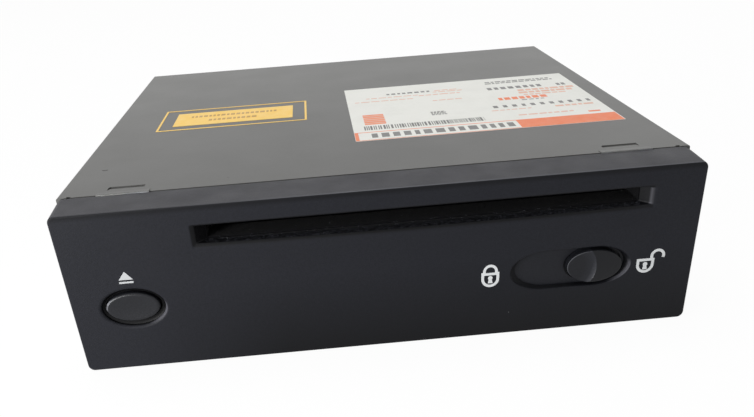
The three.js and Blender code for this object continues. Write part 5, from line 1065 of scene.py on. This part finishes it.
def lint():
    """Pale specks of lint caught on the lower strip and on its lip."""
    low, high = box_of("felt_lower")
    rng = random.Random(11)
    bm = bmesh.new()
    for _ in range(settings().felt.lint):
        depth = low.y - 2.2 + (high.y - low.y) * rng.random() ** 2 * 0.7
        root = place(rng.uniform(low.x, high.x), depth, high.z - rng.uniform(0.0, 0.3))
        lean = leaning(rng, (-1, 1), (-1, 1), (0.1, 0.5))
        bar(bm, rng.uniform(0.03, 0.07), root, root + lean * mm(rng.uniform(0.15, 0.5)), 4, 0.02)
    seat_new(bm, "felt_lint", slot="felt", finish="lint")


class DRIVE_OT_felt(bpy.types.Operator):
    """Models the felt strips, their fibres and the lint on them."""

    bl_idname = "disc_drive.felt"
    bl_label = "Felt strips"

    def execute(self, context):
        felt_strip("felt_lower", 1, 3)
        felt_strip("felt_upper", -1, 5)
        lip_fluff()
        felt_ends()
        lint()
        return {"FINISHED"}


# The sheet cover

def stadium(bm, across, depth, height):
    """A cutter with round ends that stands on a slot's outline."""
    radius = (depth[1] - depth[0]) / 2
    middle = (depth[0] + depth[1]) / 2
    outline = arc((across[1] - radius, middle), (radius, radius), -90, 90, 12)
    outline += arc((across[0] + radius, middle), (radius, radius), 90, 270, 12)
    lofted(bm, [[place(x, y, level) for x, y in outline] for level in height])


def wedge(bm, across, depth, top, fall):
    """A cutter for a pressed tab: a slope that falls away from the sheet's level to a steep rear wall."""
    profile = ((depth[0], top), (depth[1], top - fall), (depth[1], top + fall), (depth[0], top + fall))
    rings = []
    for x, rear in ((across[0], depth[1] - 0.7), (across[0] + 0.5, depth[1]), (across[1], depth[1])):
        rings.append([place(x, min(reach, rear), height) for reach, height in profile])
    lofted(bm, rings)


def bridge(bm, middle, front, sheet):
    """A tab that reaches over the front's edge, raised at its tip and running out into the sheet."""
    half, chamfer = 7.5, (0.3, 0.02)
    rings = []
    for depth, rise in ((front - 0.75, 0.3), (front + 0.4, 0.28), (front + 2.2, 0.0)):
        level = TOP_Z + rise
        side = [(half, TOP_Z - sheet + 0.1), (half, level - chamfer[1]), (half - chamfer[0], level)]
        outline = [(-side[0][0], side[0][1])] + side + [(-reach, height) for reach, height in side[:0:-1]]
        rings.append([place(middle + reach, depth, height) for reach, height in outline])
    lofted(bm, rings)


def bare_edges():
    """The sheared edges of the tabs, where the steel shows bare."""
    bm = bmesh.new()
    for middle in (-HOOK_X, HOOK_X):
        block(bm, around(middle, 7.5), (13.36, 13.42), (TOP_Z - 0.1, TOP_Z + 0.24))
    seat_new(bm, "bare_tab_edges", slot="cover", finish="frame_steel")


def sheet_cover():
    """The bent cover with its clip slots, front bridges, screw holes and rear fold."""
    low, high = box_of("top_cover")
    sheet, bend = 0.8, 0.6
    front, rear = 14.15, high.y
    half, hem = high.x + 0.5, low.z
    outer = [rounded_box((-half, half), (hem - 4, TOP_Z), (0.3, bend), depth, 10) for depth in (front, rear)]
    inner = [rounded_box(around(0, half - sheet), (hem - 6, TOP_Z - sheet), (0.3, 0.1), depth, 10)
             for depth in (front - 3, rear + 3)]
    below = shaped(block, (-120, 120), (0, 200), (hem - 20, hem))
    cover = combined(shaped(lofted, outer), "DIFFERENCE", [shaped(lofted, inner), below])
    cover = combined(cover, "UNION", [shaped(block, (-84, 84), (rear - sheet, rear), (42.7, 49.05))])
    through = (45, 52)
    rear_screw = (78, 45.2)
    holes = []
    for side in (-1, 1):
        middle = side * HOOK_X
        holes.append(shaped(wedge, around(middle, 5.3), (17.4, 20.2), TOP_Z, 0.42))
        holes.append(shaped(block, around(middle, 4.6), (19.95, 20.19), through))
        holes.append(shaped(block, around(side * 88, 0.6), (13, 14.9), through))
        ends = [place(side * rear_screw[0], depth, rear_screw[1]) for depth in (rear - 3, rear + 3)]
        holes.append(shaped(bar, 1.7, *ends, 24))
    holes.append(shaped(stadium, (-83.7, -81.8), (36.1, 36.6), (TOP_Z - 0.2, TOP_Z + 2)))
    for depth in (34, 150):
        holes.append(shaped(bar, 1.7, place(-110, depth, 41), place(110, depth, 41), 24))
    cover = combined(cover, "DIFFERENCE", holes)
    cover = combined(cover, "UNION", [shaped(bridge, middle, front, sheet) for middle in (-HOOK_X, HOOK_X)])
    seat(cover, "sheet_cover", "top_cover", bevel=0.14)


class DRIVE_OT_cover(bpy.types.Operator):
    """Models the bent sheet cover."""

    bl_idname = "disc_drive.cover"
    bl_label = "Sheet cover"

    def execute(self, context):
        sheet_cover()
        bare_edges()
        return {"FINISHED"}


# Screws

def pan_head(node, axis, outward):
    """A pan-head screw with a cross recess, its head on the outward side."""
    low, high = corners_of(node)
    along, out = AXES[axis]
    centre = (low + high) / 2
    long, radius = (high - low).dot(along) / MM, (high - low).dot(out) / 2 / MM
    head, shank, root = 1.2, 1.3, 1.08
    profile = [(0.0, 0.0), (radius * 0.35, 0.02), (radius * 0.62, 0.14), (radius * 0.84, 0.4),
               (radius * 0.97, 0.75), (radius, 0.95), (radius * 0.98, head), (shank, head)]
    turns, start = 5, head + 0.4
    pitch = (long - 0.4 - start) / turns
    for turn in range(turns + 1):
        profile.append((shank, start + pitch * turn))
        if turn < turns:
            profile.append((root, start + pitch * (turn + 0.5)))
    profile += [(0.9, long), (0.0, long)]
    profile = [(reach, outward * (long / 2 - depth)) for reach, depth in profile]
    tip = centre + along * outward * mm(long / 2)
    blades = [shaped(cross_blade, tip, along * outward, swing) for swing in (0.41, 0.41 + math.pi / 2)]
    screw = combined(shaped(turned, profile, centre, axis, 40), "DIFFERENCE", blades)
    seat(screw, f"{node}_turned", node, bevel=0.04)


def cross_blade(bm, at, outward, swing):
    """One blade of a cross recess, tapering into the head."""
    turn = outward.to_track_quat("Z", "Y").to_matrix().to_4x4() @ Matrix.Rotation(swing, 4, "Z")
    sides = Matrix.Diagonal((mm(2.7), mm(0.55), mm(2.0), 1))
    made = bmesh.ops.create_cube(bm, size=1.0, matrix=sides)["verts"]
    for vert in made:
        if vert.co.z < 0:
            vert.co.x *= 0.35
    bmesh.ops.transform(bm, matrix=Matrix.Translation(at) @ turn, verts=made)


class DRIVE_OT_screws(bpy.types.Operator):
    """Models the cover's and the rear panel's screws."""

    bl_idname = "disc_drive.screws"
    bl_label = "Screws"

    def execute(self, context):
        for side, outward in (("left", -1), ("right", 1)):
            for end in ("front", "rear"):
                pan_head(f"cover_screw_{end}_{side}", "X", outward)
        for side in ("left", "right"):
            pan_head(f"rear_screw_{side}", "Y", 1)
        return {"FINISHED"}


# Labels on the cover

FILM = 0.09
PRINT = 0.03


def flat_plate(bm, across, depth, level=TOP_Z + FILM, thickness=PRINT, radius=0.0):
    """A flat plate in the plane of the cover, with round corners where a radius is given."""
    if radius:
        outline = round_corners(across, depth, (radius, radius), 4)
    else:
        outline = [(across[1], depth[0]), (across[1], depth[1]), (across[0], depth[1]), (across[0], depth[0])]
    lofted(bm, [[place(x, y, height) for x, y in outline] for height in (level, level + thickness)])


def dashes(bm, rng, start, end, depth, height, words, gap):
    """A row of plain dashes, like a line of print too small to read."""
    at = start
    while at < end - words[0]:
        long = min(rng.uniform(*words), end - at)
        flat_plate(bm, (at, at + long), (depth, depth + height))
        at += long + gap


def stripes(bm, rng, across, depth):
    """A row of upright stripes of uneven width."""
    at = across[0]
    while at < across[1]:
        width = rng.choice((0.35, 0.35, 0.5, 0.7))
        flat_plate(bm, (at, min(at + width, across[1])), depth)
        at += width + rng.choice((0.3, 0.3, 0.45, 0.6))


def large_label():
    """The white label: paper, an orange band and frame, stripes and rows of dashes."""
    left, right = -4, 84.6
    front, rear = 44.1, 114.2
    band_left, band_rear = 50.5, front + 9.2
    bm = bmesh.new()
    flat_plate(bm, (left, right), (front, rear), TOP_Z, FILM, 0.4)
    seat_new(bm, "large_label", slot="cover", finish="paper")
    rng = random.Random(21)

    bm = bmesh.new()
    band = (front + 0.1, band_rear)
    between = (left + 1.3, band_left)
    flat_plate(bm, (band_left, right - 0.3), band)
    flat_plate(bm, (left + 0.1, left + 1.3), band)
    flat_plate(bm, between, (band[0], band[0] + 0.35))
    flat_plate(bm, between, (band_rear - 0.45, band_rear))
    field, pitch = (0.4, 7.8), 2.25
    for line in range(6):
        flat_plate(bm, field, (62 + pitch * line, 63.1 + pitch * line))
    dashes(bm, rng, 51.6, 71, 79.6, 3.4, (1.2, 2.6), 0.7)
    dashes(bm, rng, 76.6, 83.6, 55.8, 1.5, (2, 6), 1.1)
    seat_new(bm, "large_label_band", slot="cover", finish="orange")

    bm = bmesh.new()
    for line in range(5):
        flat_plate(bm, field, (63.1 + pitch * line, 64.25 + pitch * line))
    rows = (
        (45.6, 61.4, 66.1, 0.7), (68.2, 83.2, 65.6, 1.5), (53.1, 72.6, 58.2, 1.0), (61, 83, 87.2, 2.2),
        (61.5, 83.2, 90.8, 2.2), (-1, 21.3, 92.3, 0.7), (3.5, 24.8, 97.0, 0.7), (24, 41, 95.6, 0.9),
        (30.1, 41.5, 99.4, 0.8), (31, 41.5, 101.6, 0.8), (28, 40.3, 86.7, 0.8), (62, 78, 84.4, 1.2),
    )
    for row in rows:
        dashes(bm, rng, *row, (1.2, 3.4), 0.6)
    seat_new(bm, "large_label_rows", slot="cover", finish="pale_orange")

    bm = bmesh.new()
    stripes(bm, rng, (-0.2, 41), (55.6, 60.1))
    for row in range(4):
        dashes(bm, rng, 24.6, 30, 67.4 + 1.2 * row, 0.8, (0.4, 1.2), 0.35)
    seat_new(bm, "large_label_stripes", slot="cover", finish="grey_print")

    bm = bmesh.new()
    rows = (
        (1.6, 49, 46.6, 4.5, (1.5, 3.0), 1.3), (47.2, 82.4, 69.7, 2.9, (1.2, 1.8), 1.9),
        (51, 73, 95.6, 3.4, (1.3, 2.2), 1.0), (78, 82.6, 95.2, 3.2, (1.0, 1.6), 0.6),
        (52, 79, 105.1, 1.3, (0.8, 2.4), 0.5), (52.4, 79.2, 107.4, 1.3, (0.8, 2.4), 0.5),
        (12, 29, 100.8, 1.9, (1.0, 2.0), 0.8), (59.4, 68.8, 77.6, 0.9, (0.8, 2.0), 0.8),
    )
    for row in rows:
        dashes(bm, rng, *row)
    seat_new(bm, "large_label_dashes", slot="cover", finish="dark_print")


def small_label():
    """The yellow label: a clear film with a yellow frame and a panel."""
    left, right = -73.9, -19.6
    front, rear = 75.4, 102.8
    side, edge = 0.75, 0.7
    bm = bmesh.new()
    for across, depth in (((left, right), (front, front + edge)), ((left, right), (rear - edge, rear)),
                          ((left, left + side), (front + edge, rear - edge)),
                          ((right - side, right), (front + edge, rear - edge)),
                          ((-68.6, -24.8), (80.4, 97.4))):
        flat_plate(bm, across, depth, TOP_Z, FILM)
    seat_new(bm, "small_label", slot="cover", finish="yellow")
    bm = bmesh.new()
    rng = random.Random(31)
    for start, end, depth in ((-63, -31, 90.6), (-56, -38, 84.8)):
        dashes(bm, rng, start, end, depth, 2.2, (0.8, 1.8), 0.55)
    seat_new(bm, "small_label_dashes", slot="cover", finish="brown_print")


class DRIVE_OT_labels(bpy.types.Operator):
    """Lays the two labels on the cover, with plain generic print."""

    bl_idname = "disc_drive.labels"
    bl_label = "Labels"

    def execute(self, context):
        large_label()
        small_label()
        return {"FINISHED"}


# Signs on the face

def stroke(bm, path, width, level=0):
    """A flat line of even width along a path of across and height, printed on the face."""
    sides = []
    for index, point in enumerate(path):
        before = Vector(path[max(index - 1, 0)])
        after = Vector(path[min(index + 1, len(path) - 1)])
        heading = (after - before).normalized()
        normal = Vector((-heading.y, heading.x)) * width / 2
        sides.append((Vector(point) + normal, Vector(point) - normal))
    printed(bm, [side[0] for side in sides] + [side[1] for side in reversed(sides)], level)


def printed(bm, outline, level=0):
    """A flat field inside an outline of across and height, printed on the face at a level of its own."""
    front = -PRINT - level * 0.008
    lofted(bm, [[place(point[0], depth, point[1]) for point in outline] for depth in (0.02, front)])


def arc(centre, radii, start, end, steps=20):
    """Points of an elliptic arc between two angles in degrees."""
    points = []
    for step in range(steps + 1):
        turn = math.radians(start + (end - start) * step / steps)
        points.append((centre[0] + radii[0] * math.cos(turn), centre[1] + radii[1] * math.sin(turn)))
    return points


def padlock(bm, left, right, bottom, shoulder, keyhole, width):
    """The padlock's body as a rounded U with a keyhole: a round hole over a short foot."""
    middle = (left + right) / 2
    half = (right - left - width) / 2
    bowl = arc((middle, bottom + width / 2 + half), (half, half), 180, 360)
    stroke(bm, [(middle - half, shoulder)] + bowl + [(middle + half, shoulder)], width)
    printed(bm, arc((middle, keyhole), (0.68, 0.68), 0, 342, 18), 1)
    printed(bm, [(middle - 0.36, keyhole), (middle + 0.36, keyhole),
                 (middle + 0.72, keyhole - 1.7), (middle - 0.72, keyhole - 1.7)], 2)
    return middle, half


def face_signs():
    """The eject sign over the button and a padlock at each end of the slider."""
    left, right = -75.2, -71.2
    bm = bmesh.new()
    printed(bm, [(left, 29.27), (right, 29.27), ((left + right) / 2, 31.84)])
    printed(bm, [(left, 28.17), (right, 28.17), (right, 28.73), (left, 28.73)])
    seat_new(bm, "eject_sign", slot="bezel", finish="sign")

    # The padlocks take the sign ink made lighter: painted light.
    width = 0.82
    bm = bmesh.new()
    middle, half = padlock(bm, 27.65, 32.9, 16.5, 21.3, 19.45, width)
    stroke(bm, [(middle - half, 20.75), (middle + half, 20.75)], width, 1)
    shackle = half - 0.45
    stroke(bm, [(middle - shackle, 20.9)] + arc((middle, 21.55), (shackle, 1.85), 180, 0) +
           [(middle + shackle, 20.9)], width, 2)
    seat_new(bm, "closed_padlock_sign", slot="bezel", finish="painted_light_sign")

    bm = bmesh.new()
    middle, half = padlock(bm, 73.45, 78.65, 16.7, 20.9, 19.5, width)
    stroke(bm, [(middle - half - width / 2, 20.9), (middle + half + width / 2, 20.9)], width, 1)
    stroke(bm, [(77.9, 20.7), (77.75, 21.7)] + arc((79.5, 22.0), (1.75, 1.75), 170, -20), width, 2)
    seat_new(bm, "open_padlock_sign", slot="bezel", finish="painted_light_sign")


class DRIVE_OT_signs(bpy.types.Operator):
    """Prints the eject sign and the padlocks on the face."""

    bl_idname = "disc_drive.signs"
    bl_label = "Signs"

    def execute(self, context):
        face_signs()
        return {"FINISHED"}


# The case, its rear panel and the socket

def rear_socket():
    """The rear socket's shell with keying ribs, and its pins."""
    low, high = box_of("rear_socket")
    wall = 1.6
    front, rear = low.y, high.y
    shell = shaped(block, (low.x, high.x), (front, rear), (low.z, high.z))
    hollow = shaped(block, (low.x + wall, high.x - wall), (front + 5, rear + 2), (low.z + wall, high.z - wall))
    shell = combined(shell, "DIFFERENCE", [hollow])
    ribs = []
    for share in (0.2, 0.74):
        across = low.x + share * (high.x - low.x)
        ribs.append(shaped(block, (across, across + 1.4), (front + 4.5, rear - 1.5),
                           (high.z - wall - 0.9, high.z - wall / 2)))
    seat(combined(shell, "UNION", ribs), "rear_socket_shell", "rear_socket", bevel=0.2)
    bm = bmesh.new()
    for column in range(9):
        for row in (-1, 1):
            across = (low.x + high.x) / 2 + (column - 4) * 3.8
            height = (low.z + high.z) / 2 + row * (high.z - low.z) / 5
            foot, shoulder, tip = (place(across, front + depth, height) for depth in (4.5, 10.3, 11.0))
            bar(bm, 0.5, foot, shoulder, 4)
            bar(bm, 0.5, shoulder, tip, 4, 0.2)
    seat_new(bm, "rear_socket_pins", slot="socket_plastic", finish="pins")


class DRIVE_OT_case(bpy.types.Operator):
    """Rounds the sheet edges of the case and models the rear socket."""

    bl_idname = "disc_drive.case"
    bl_label = "Case and socket"

    def execute(self, context):
        edged_copy("lower_case", 0.15, False)
        edged_copy("rear_panel", 0.1, False)
        rear_socket()
        return {"FINISHED"}


# The mechanism

def turned_copy(node, profile, axis, sides=48):
    """A turned piece in a node's place: radius and distance from the node's low end along the axis."""
    low, high = corners_of(node)
    along = AXES[axis][0]
    centre = (low + high) / 2
    bm = bmesh.new()
    turned(bm, profile, centre + along * (low - centre).dot(along), axis, sides)
    seat_new(bm, f"{node}_turned", node)


def swept(bore, long, steps, radius_at):
    """The profile of a bored piece whose radius follows its length."""
    outside = [(radius_at(step / steps), long * step / steps) for step in range(steps + 1)]
    return [(bore, 0.0)] + outside + [(bore, long), (bore, 0.0)]


def screw_thread():
    """The lead screw: a bar with its thread wound on it."""
    low, high = box_of("lead_screw")
    height, depth = (low.z + high.z) / 2, (low.y + high.y) / 2
    core, crest, pitch, half = 1.12, 1.38, 3, 0.55
    steps_per_turn = 16
    start, end = low.x + 3, high.x - 4
    bm = bmesh.new()
    bar(bm, 1.15, place(low.x, depth, height), place(high.x, depth, height), 24)
    sections = []
    for step in range(int((end - start) / pitch * steps_per_turn) + 1):
        turn = 2 * math.pi * step / steps_per_turn
        middle = start + pitch * step / steps_per_turn
        sections.append([
            place(middle + shift, depth + reach * math.cos(turn), height + reach * math.sin(turn))
            for shift, reach in ((-half, core), (-half / 2, crest), (half / 2, crest), (half, core))])
    lofted(bm, sections)
    seat_new(bm, "lead_screw_thread", "lead_screw")


def waisted(share):
    """Radius of the feed roller at a share of its length."""
    waist, end = 3.2, 4.0
    return waist + (end - waist) * abs(2 * share - 1) ** 1.3


def necked(share):
    """Radius of a rubber damper at a share of its height."""
    return 4 - 1.1 * math.sin(math.pi * share) ** 2


def mechanism():
    """Round pieces turned finely, and sheet pieces with rounded edges."""
    low, high = box_of("feed_roller")
    turned_copy("feed_roller", swept(1.8, high.x - low.x, 24, waisted), "X")
    for node in ("feed_shaft", "guide_rod_1", "guide_rod_2"):
        low, high = box_of(node)
        long, nose, radius = high.x - low.x, 0.3, 1.5
        turned_copy(node, [(0.0, 0.0), (radius - nose, 0.0), (radius, nose), (radius, long - nose),
                           (radius - nose, long), (0.0, long)], "X", 32)
    screw_thread()
    for index in range(1, 5):
        node = f"damper_{index}"
        low, high = box_of(node)
        turned_copy(node, swept(1.5, high.z - low.z, 12, necked), "Z", 36)
    for node in ("mech_frame", "gear_plate", "roller_bracket", "clamp_arm", "traverse_plate", "pickup_sled",
                 "disc_guide"):
        edged_copy(node, 0.1)
    for node in ("motor_pinion", "reduction_gear", "clutch_gear", "idler_gear", "roller_gear", "mode_pinion",
                 "mode_slider", "trigger_lever"):
        edged_copy(node, 0.05)


class DRIVE_OT_mechanism(bpy.types.Operator):
    """Models the finely turned and edged pieces of the loader and the traverse."""

    bl_idname = "disc_drive.mechanism"
    bl_label = "Mechanism"

    def execute(self, context):
        mechanism()
        return {"FINISHED"}


class DRIVE_OT_plain_nodes(bpy.types.Operator):
    """Gives the nodes that keep their own shape the finish of their slot."""

    bl_idname = "disc_drive.plain_nodes"
    bl_label = "Other pieces"

    def execute(self, context):
        for node, shape in frame["nodes"].items():
            shape.data.materials.clear()
            shape.data.materials.append(FINISHES[SLOT_OF[node]])
        return {"FINISHED"}


# The stage

PHOTO_SIZE = (754, 417)
CAMERA_PLACE = place(-15.15, -184.41, 120.31)
CAMERA_AZIMUTH = -1.93022
CAMERA_ELEVATION = 28.66739
CAMERA_ROLL = -4.20173
FOCAL_PIXELS = 726.28
OPTICAL_CENTRE = (356.17, 290.18)
SENSOR = 36.0


def photo_camera():
    """The camera that looks at the drive as the photograph does."""
    data = bpy.data.cameras.new("photo_camera")
    data.sensor_width = SENSOR
    data.lens = FOCAL_PIXELS / PHOTO_SIZE[0] * SENSOR
    data.shift_x = (PHOTO_SIZE[0] / 2 - OPTICAL_CENTRE[0]) / PHOTO_SIZE[0]
    data.shift_y = (OPTICAL_CENTRE[1] - PHOTO_SIZE[1] / 2) / PHOTO_SIZE[0]
    data.clip_start = mm(5)
    data.clip_end = 20
    camera = bpy.data.objects.new("photo_camera", data)
    turn = (Matrix.Rotation(math.radians(CAMERA_AZIMUTH), 4, "Z")
            @ Matrix.Rotation(math.radians(90 - CAMERA_ELEVATION), 4, "X")
            @ Matrix.Rotation(math.radians(CAMERA_ROLL), 4, "Z"))
    camera.matrix_world = Matrix.Translation(CAMERA_PLACE) @ turn
    bpy.context.scene.collection.objects.link(camera)
    bpy.context.scene.camera = camera


def softbox(name, at, size, power):
    """A square soft lamp that faces the drive; its place and size are in metres."""
    data = bpy.data.lights.new(name, "AREA")
    data.shape = "SQUARE"
    data.size = size
    data.energy = power
    lamp = bpy.data.objects.new(name, data)
    aim = Vector((0, 0, mm(20))) - Vector(at)
    lamp.matrix_world = Matrix.Translation(at) @ aim.to_track_quat("-Z", "Y").to_matrix().to_4x4()
    bpy.context.scene.collection.objects.link(lamp)


def seen_share(tree, plain, seen):
    """One value for the rays of plain light, another for what the camera, mirrors and glass see."""
    path = tree.nodes.new("ShaderNodeLightPath")
    total = path.outputs["Is Camera Ray"]
    for ray in ("Is Glossy Ray", "Is Transmission Ray"):
        either = tree.nodes.new("ShaderNodeMath")
        either.operation = "MAXIMUM"
        tree.links.new(total, either.inputs[0])
        tree.links.new(path.outputs[ray], either.inputs[1])
        total = either.outputs[0]
    level = tree.nodes.new("ShaderNodeMapRange")
    tree.links.new(total, level.inputs["Value"])
    level.inputs["To Min"].default_value = plain
    level.inputs["To Max"].default_value = seen
    return level.outputs["Result"]


def white_world():
    """An even pale surrounding that shows as white."""
    world = bpy.data.worlds.new("white_room")
    world.use_nodes = True
    tree = world.node_tree
    background = tree.nodes["Background"]
    tree.links.new(seen_share(tree, 0.42, 1.0), background.inputs["Strength"])
    background.inputs["Color"].default_value = (1, 1, 1, 1)
    bpy.context.scene.world = world


def white_floor():
    """The pale floor that the drive lies on."""
    bm = bmesh.new()
    bmesh.ops.create_grid(bm, x_segments=1, y_segments=1, size=3.0,
                          matrix=Matrix.Translation((0, 0, mm(-0.05))))
    floor = linked(bm, "floor")
    material = bpy.data.materials.new("floor_white")
    material.use_nodes = True
    tree = material.node_tree
    shader = tree.nodes["Principled BSDF"]
    tree.links.new(seen_share(tree, 0.07, 0.95), shader.inputs["Base Color"])
    shader.inputs["Roughness"].default_value = 0.9
    shader.inputs["Specular IOR Level"].default_value = 0.1
    glow = tree.nodes.new("ShaderNodeEmission")
    glow.inputs["Color"].default_value = (1, 1, 1, 1)
    mix = tree.nodes.new("ShaderNodeMixShader")
    tree.links.new(seen_share(tree, 0.0, 0.95), mix.inputs[0])
    tree.links.new(shader.outputs[0], mix.inputs[1])
    tree.links.new(glow.outputs[0], mix.inputs[2])
    tree.links.new(mix.outputs[0], tree.nodes["Material Output"].inputs["Surface"])
    floor.data.materials.append(material)


class DRIVE_OT_stage(bpy.types.Operator):
    """Sets the camera, the floor, the white room and the lamps."""

    bl_idname = "disc_drive.stage"
    bl_label = "Stage"

    def execute(self, context):
        context.scene.view_settings.view_transform = "Standard"
        photo_camera()
        white_floor()
        white_world()
        softbox("key_light", (-0.25, 0.1, 1.2), 0.8, 7.5)
        softbox("left_light", (-0.28, -0.32, 0.085), 0.15, 1.2)
        return {"FINISHED"}


class DRIVE_PT_panel(bpy.types.Panel):
    """Lists the steps that build the drive."""

    bl_label = "Disc drive"
    bl_idname = "DRIVE_PT_panel"
    bl_space_type = "VIEW_3D"
    bl_region_type = "UI"
    bl_category = "Disc drive"

    def draw(self, context):
        for step in STEPS:
            self.layout.operator(step.bl_idname)


FINISHES = {}
STEPS = (
    DRIVE_OT_stage,
    DRIVE_OT_plain_nodes,
    DRIVE_OT_front,
    DRIVE_OT_controls,
    DRIVE_OT_felt,
    DRIVE_OT_cover,
    DRIVE_OT_screws,
    DRIVE_OT_labels,
    DRIVE_OT_signs,
    DRIVE_OT_case,
    DRIVE_OT_mechanism,
)
CLASSES = (FaceSizes, ControlSizes, FeltSizes, DriveColours, DriveSettings, *STEPS, DRIVE_PT_panel)


def register():
    """Makes the settings, the steps and the panel known to Blender."""
    for cls in CLASSES:
        bpy.utils.register_class(cls)
    bpy.types.Scene.disc_drive = PointerProperty(type=DriveSettings)


def unregister():
    """Takes them away again."""
    del bpy.types.Scene.disc_drive
    for cls in reversed(CLASSES):
        bpy.utils.unregister_class(cls)


def main():
    """Builds the whole drive, step by step."""
    register()
    FINISHES.update({slot: finish.material for slot, finish in all_finishes().items()})
    for step in STEPS:
        group, name = step.bl_idname.split(".")
        getattr(getattr(bpy.ops, group), name)()


if __name__ == "__main__":
    main()
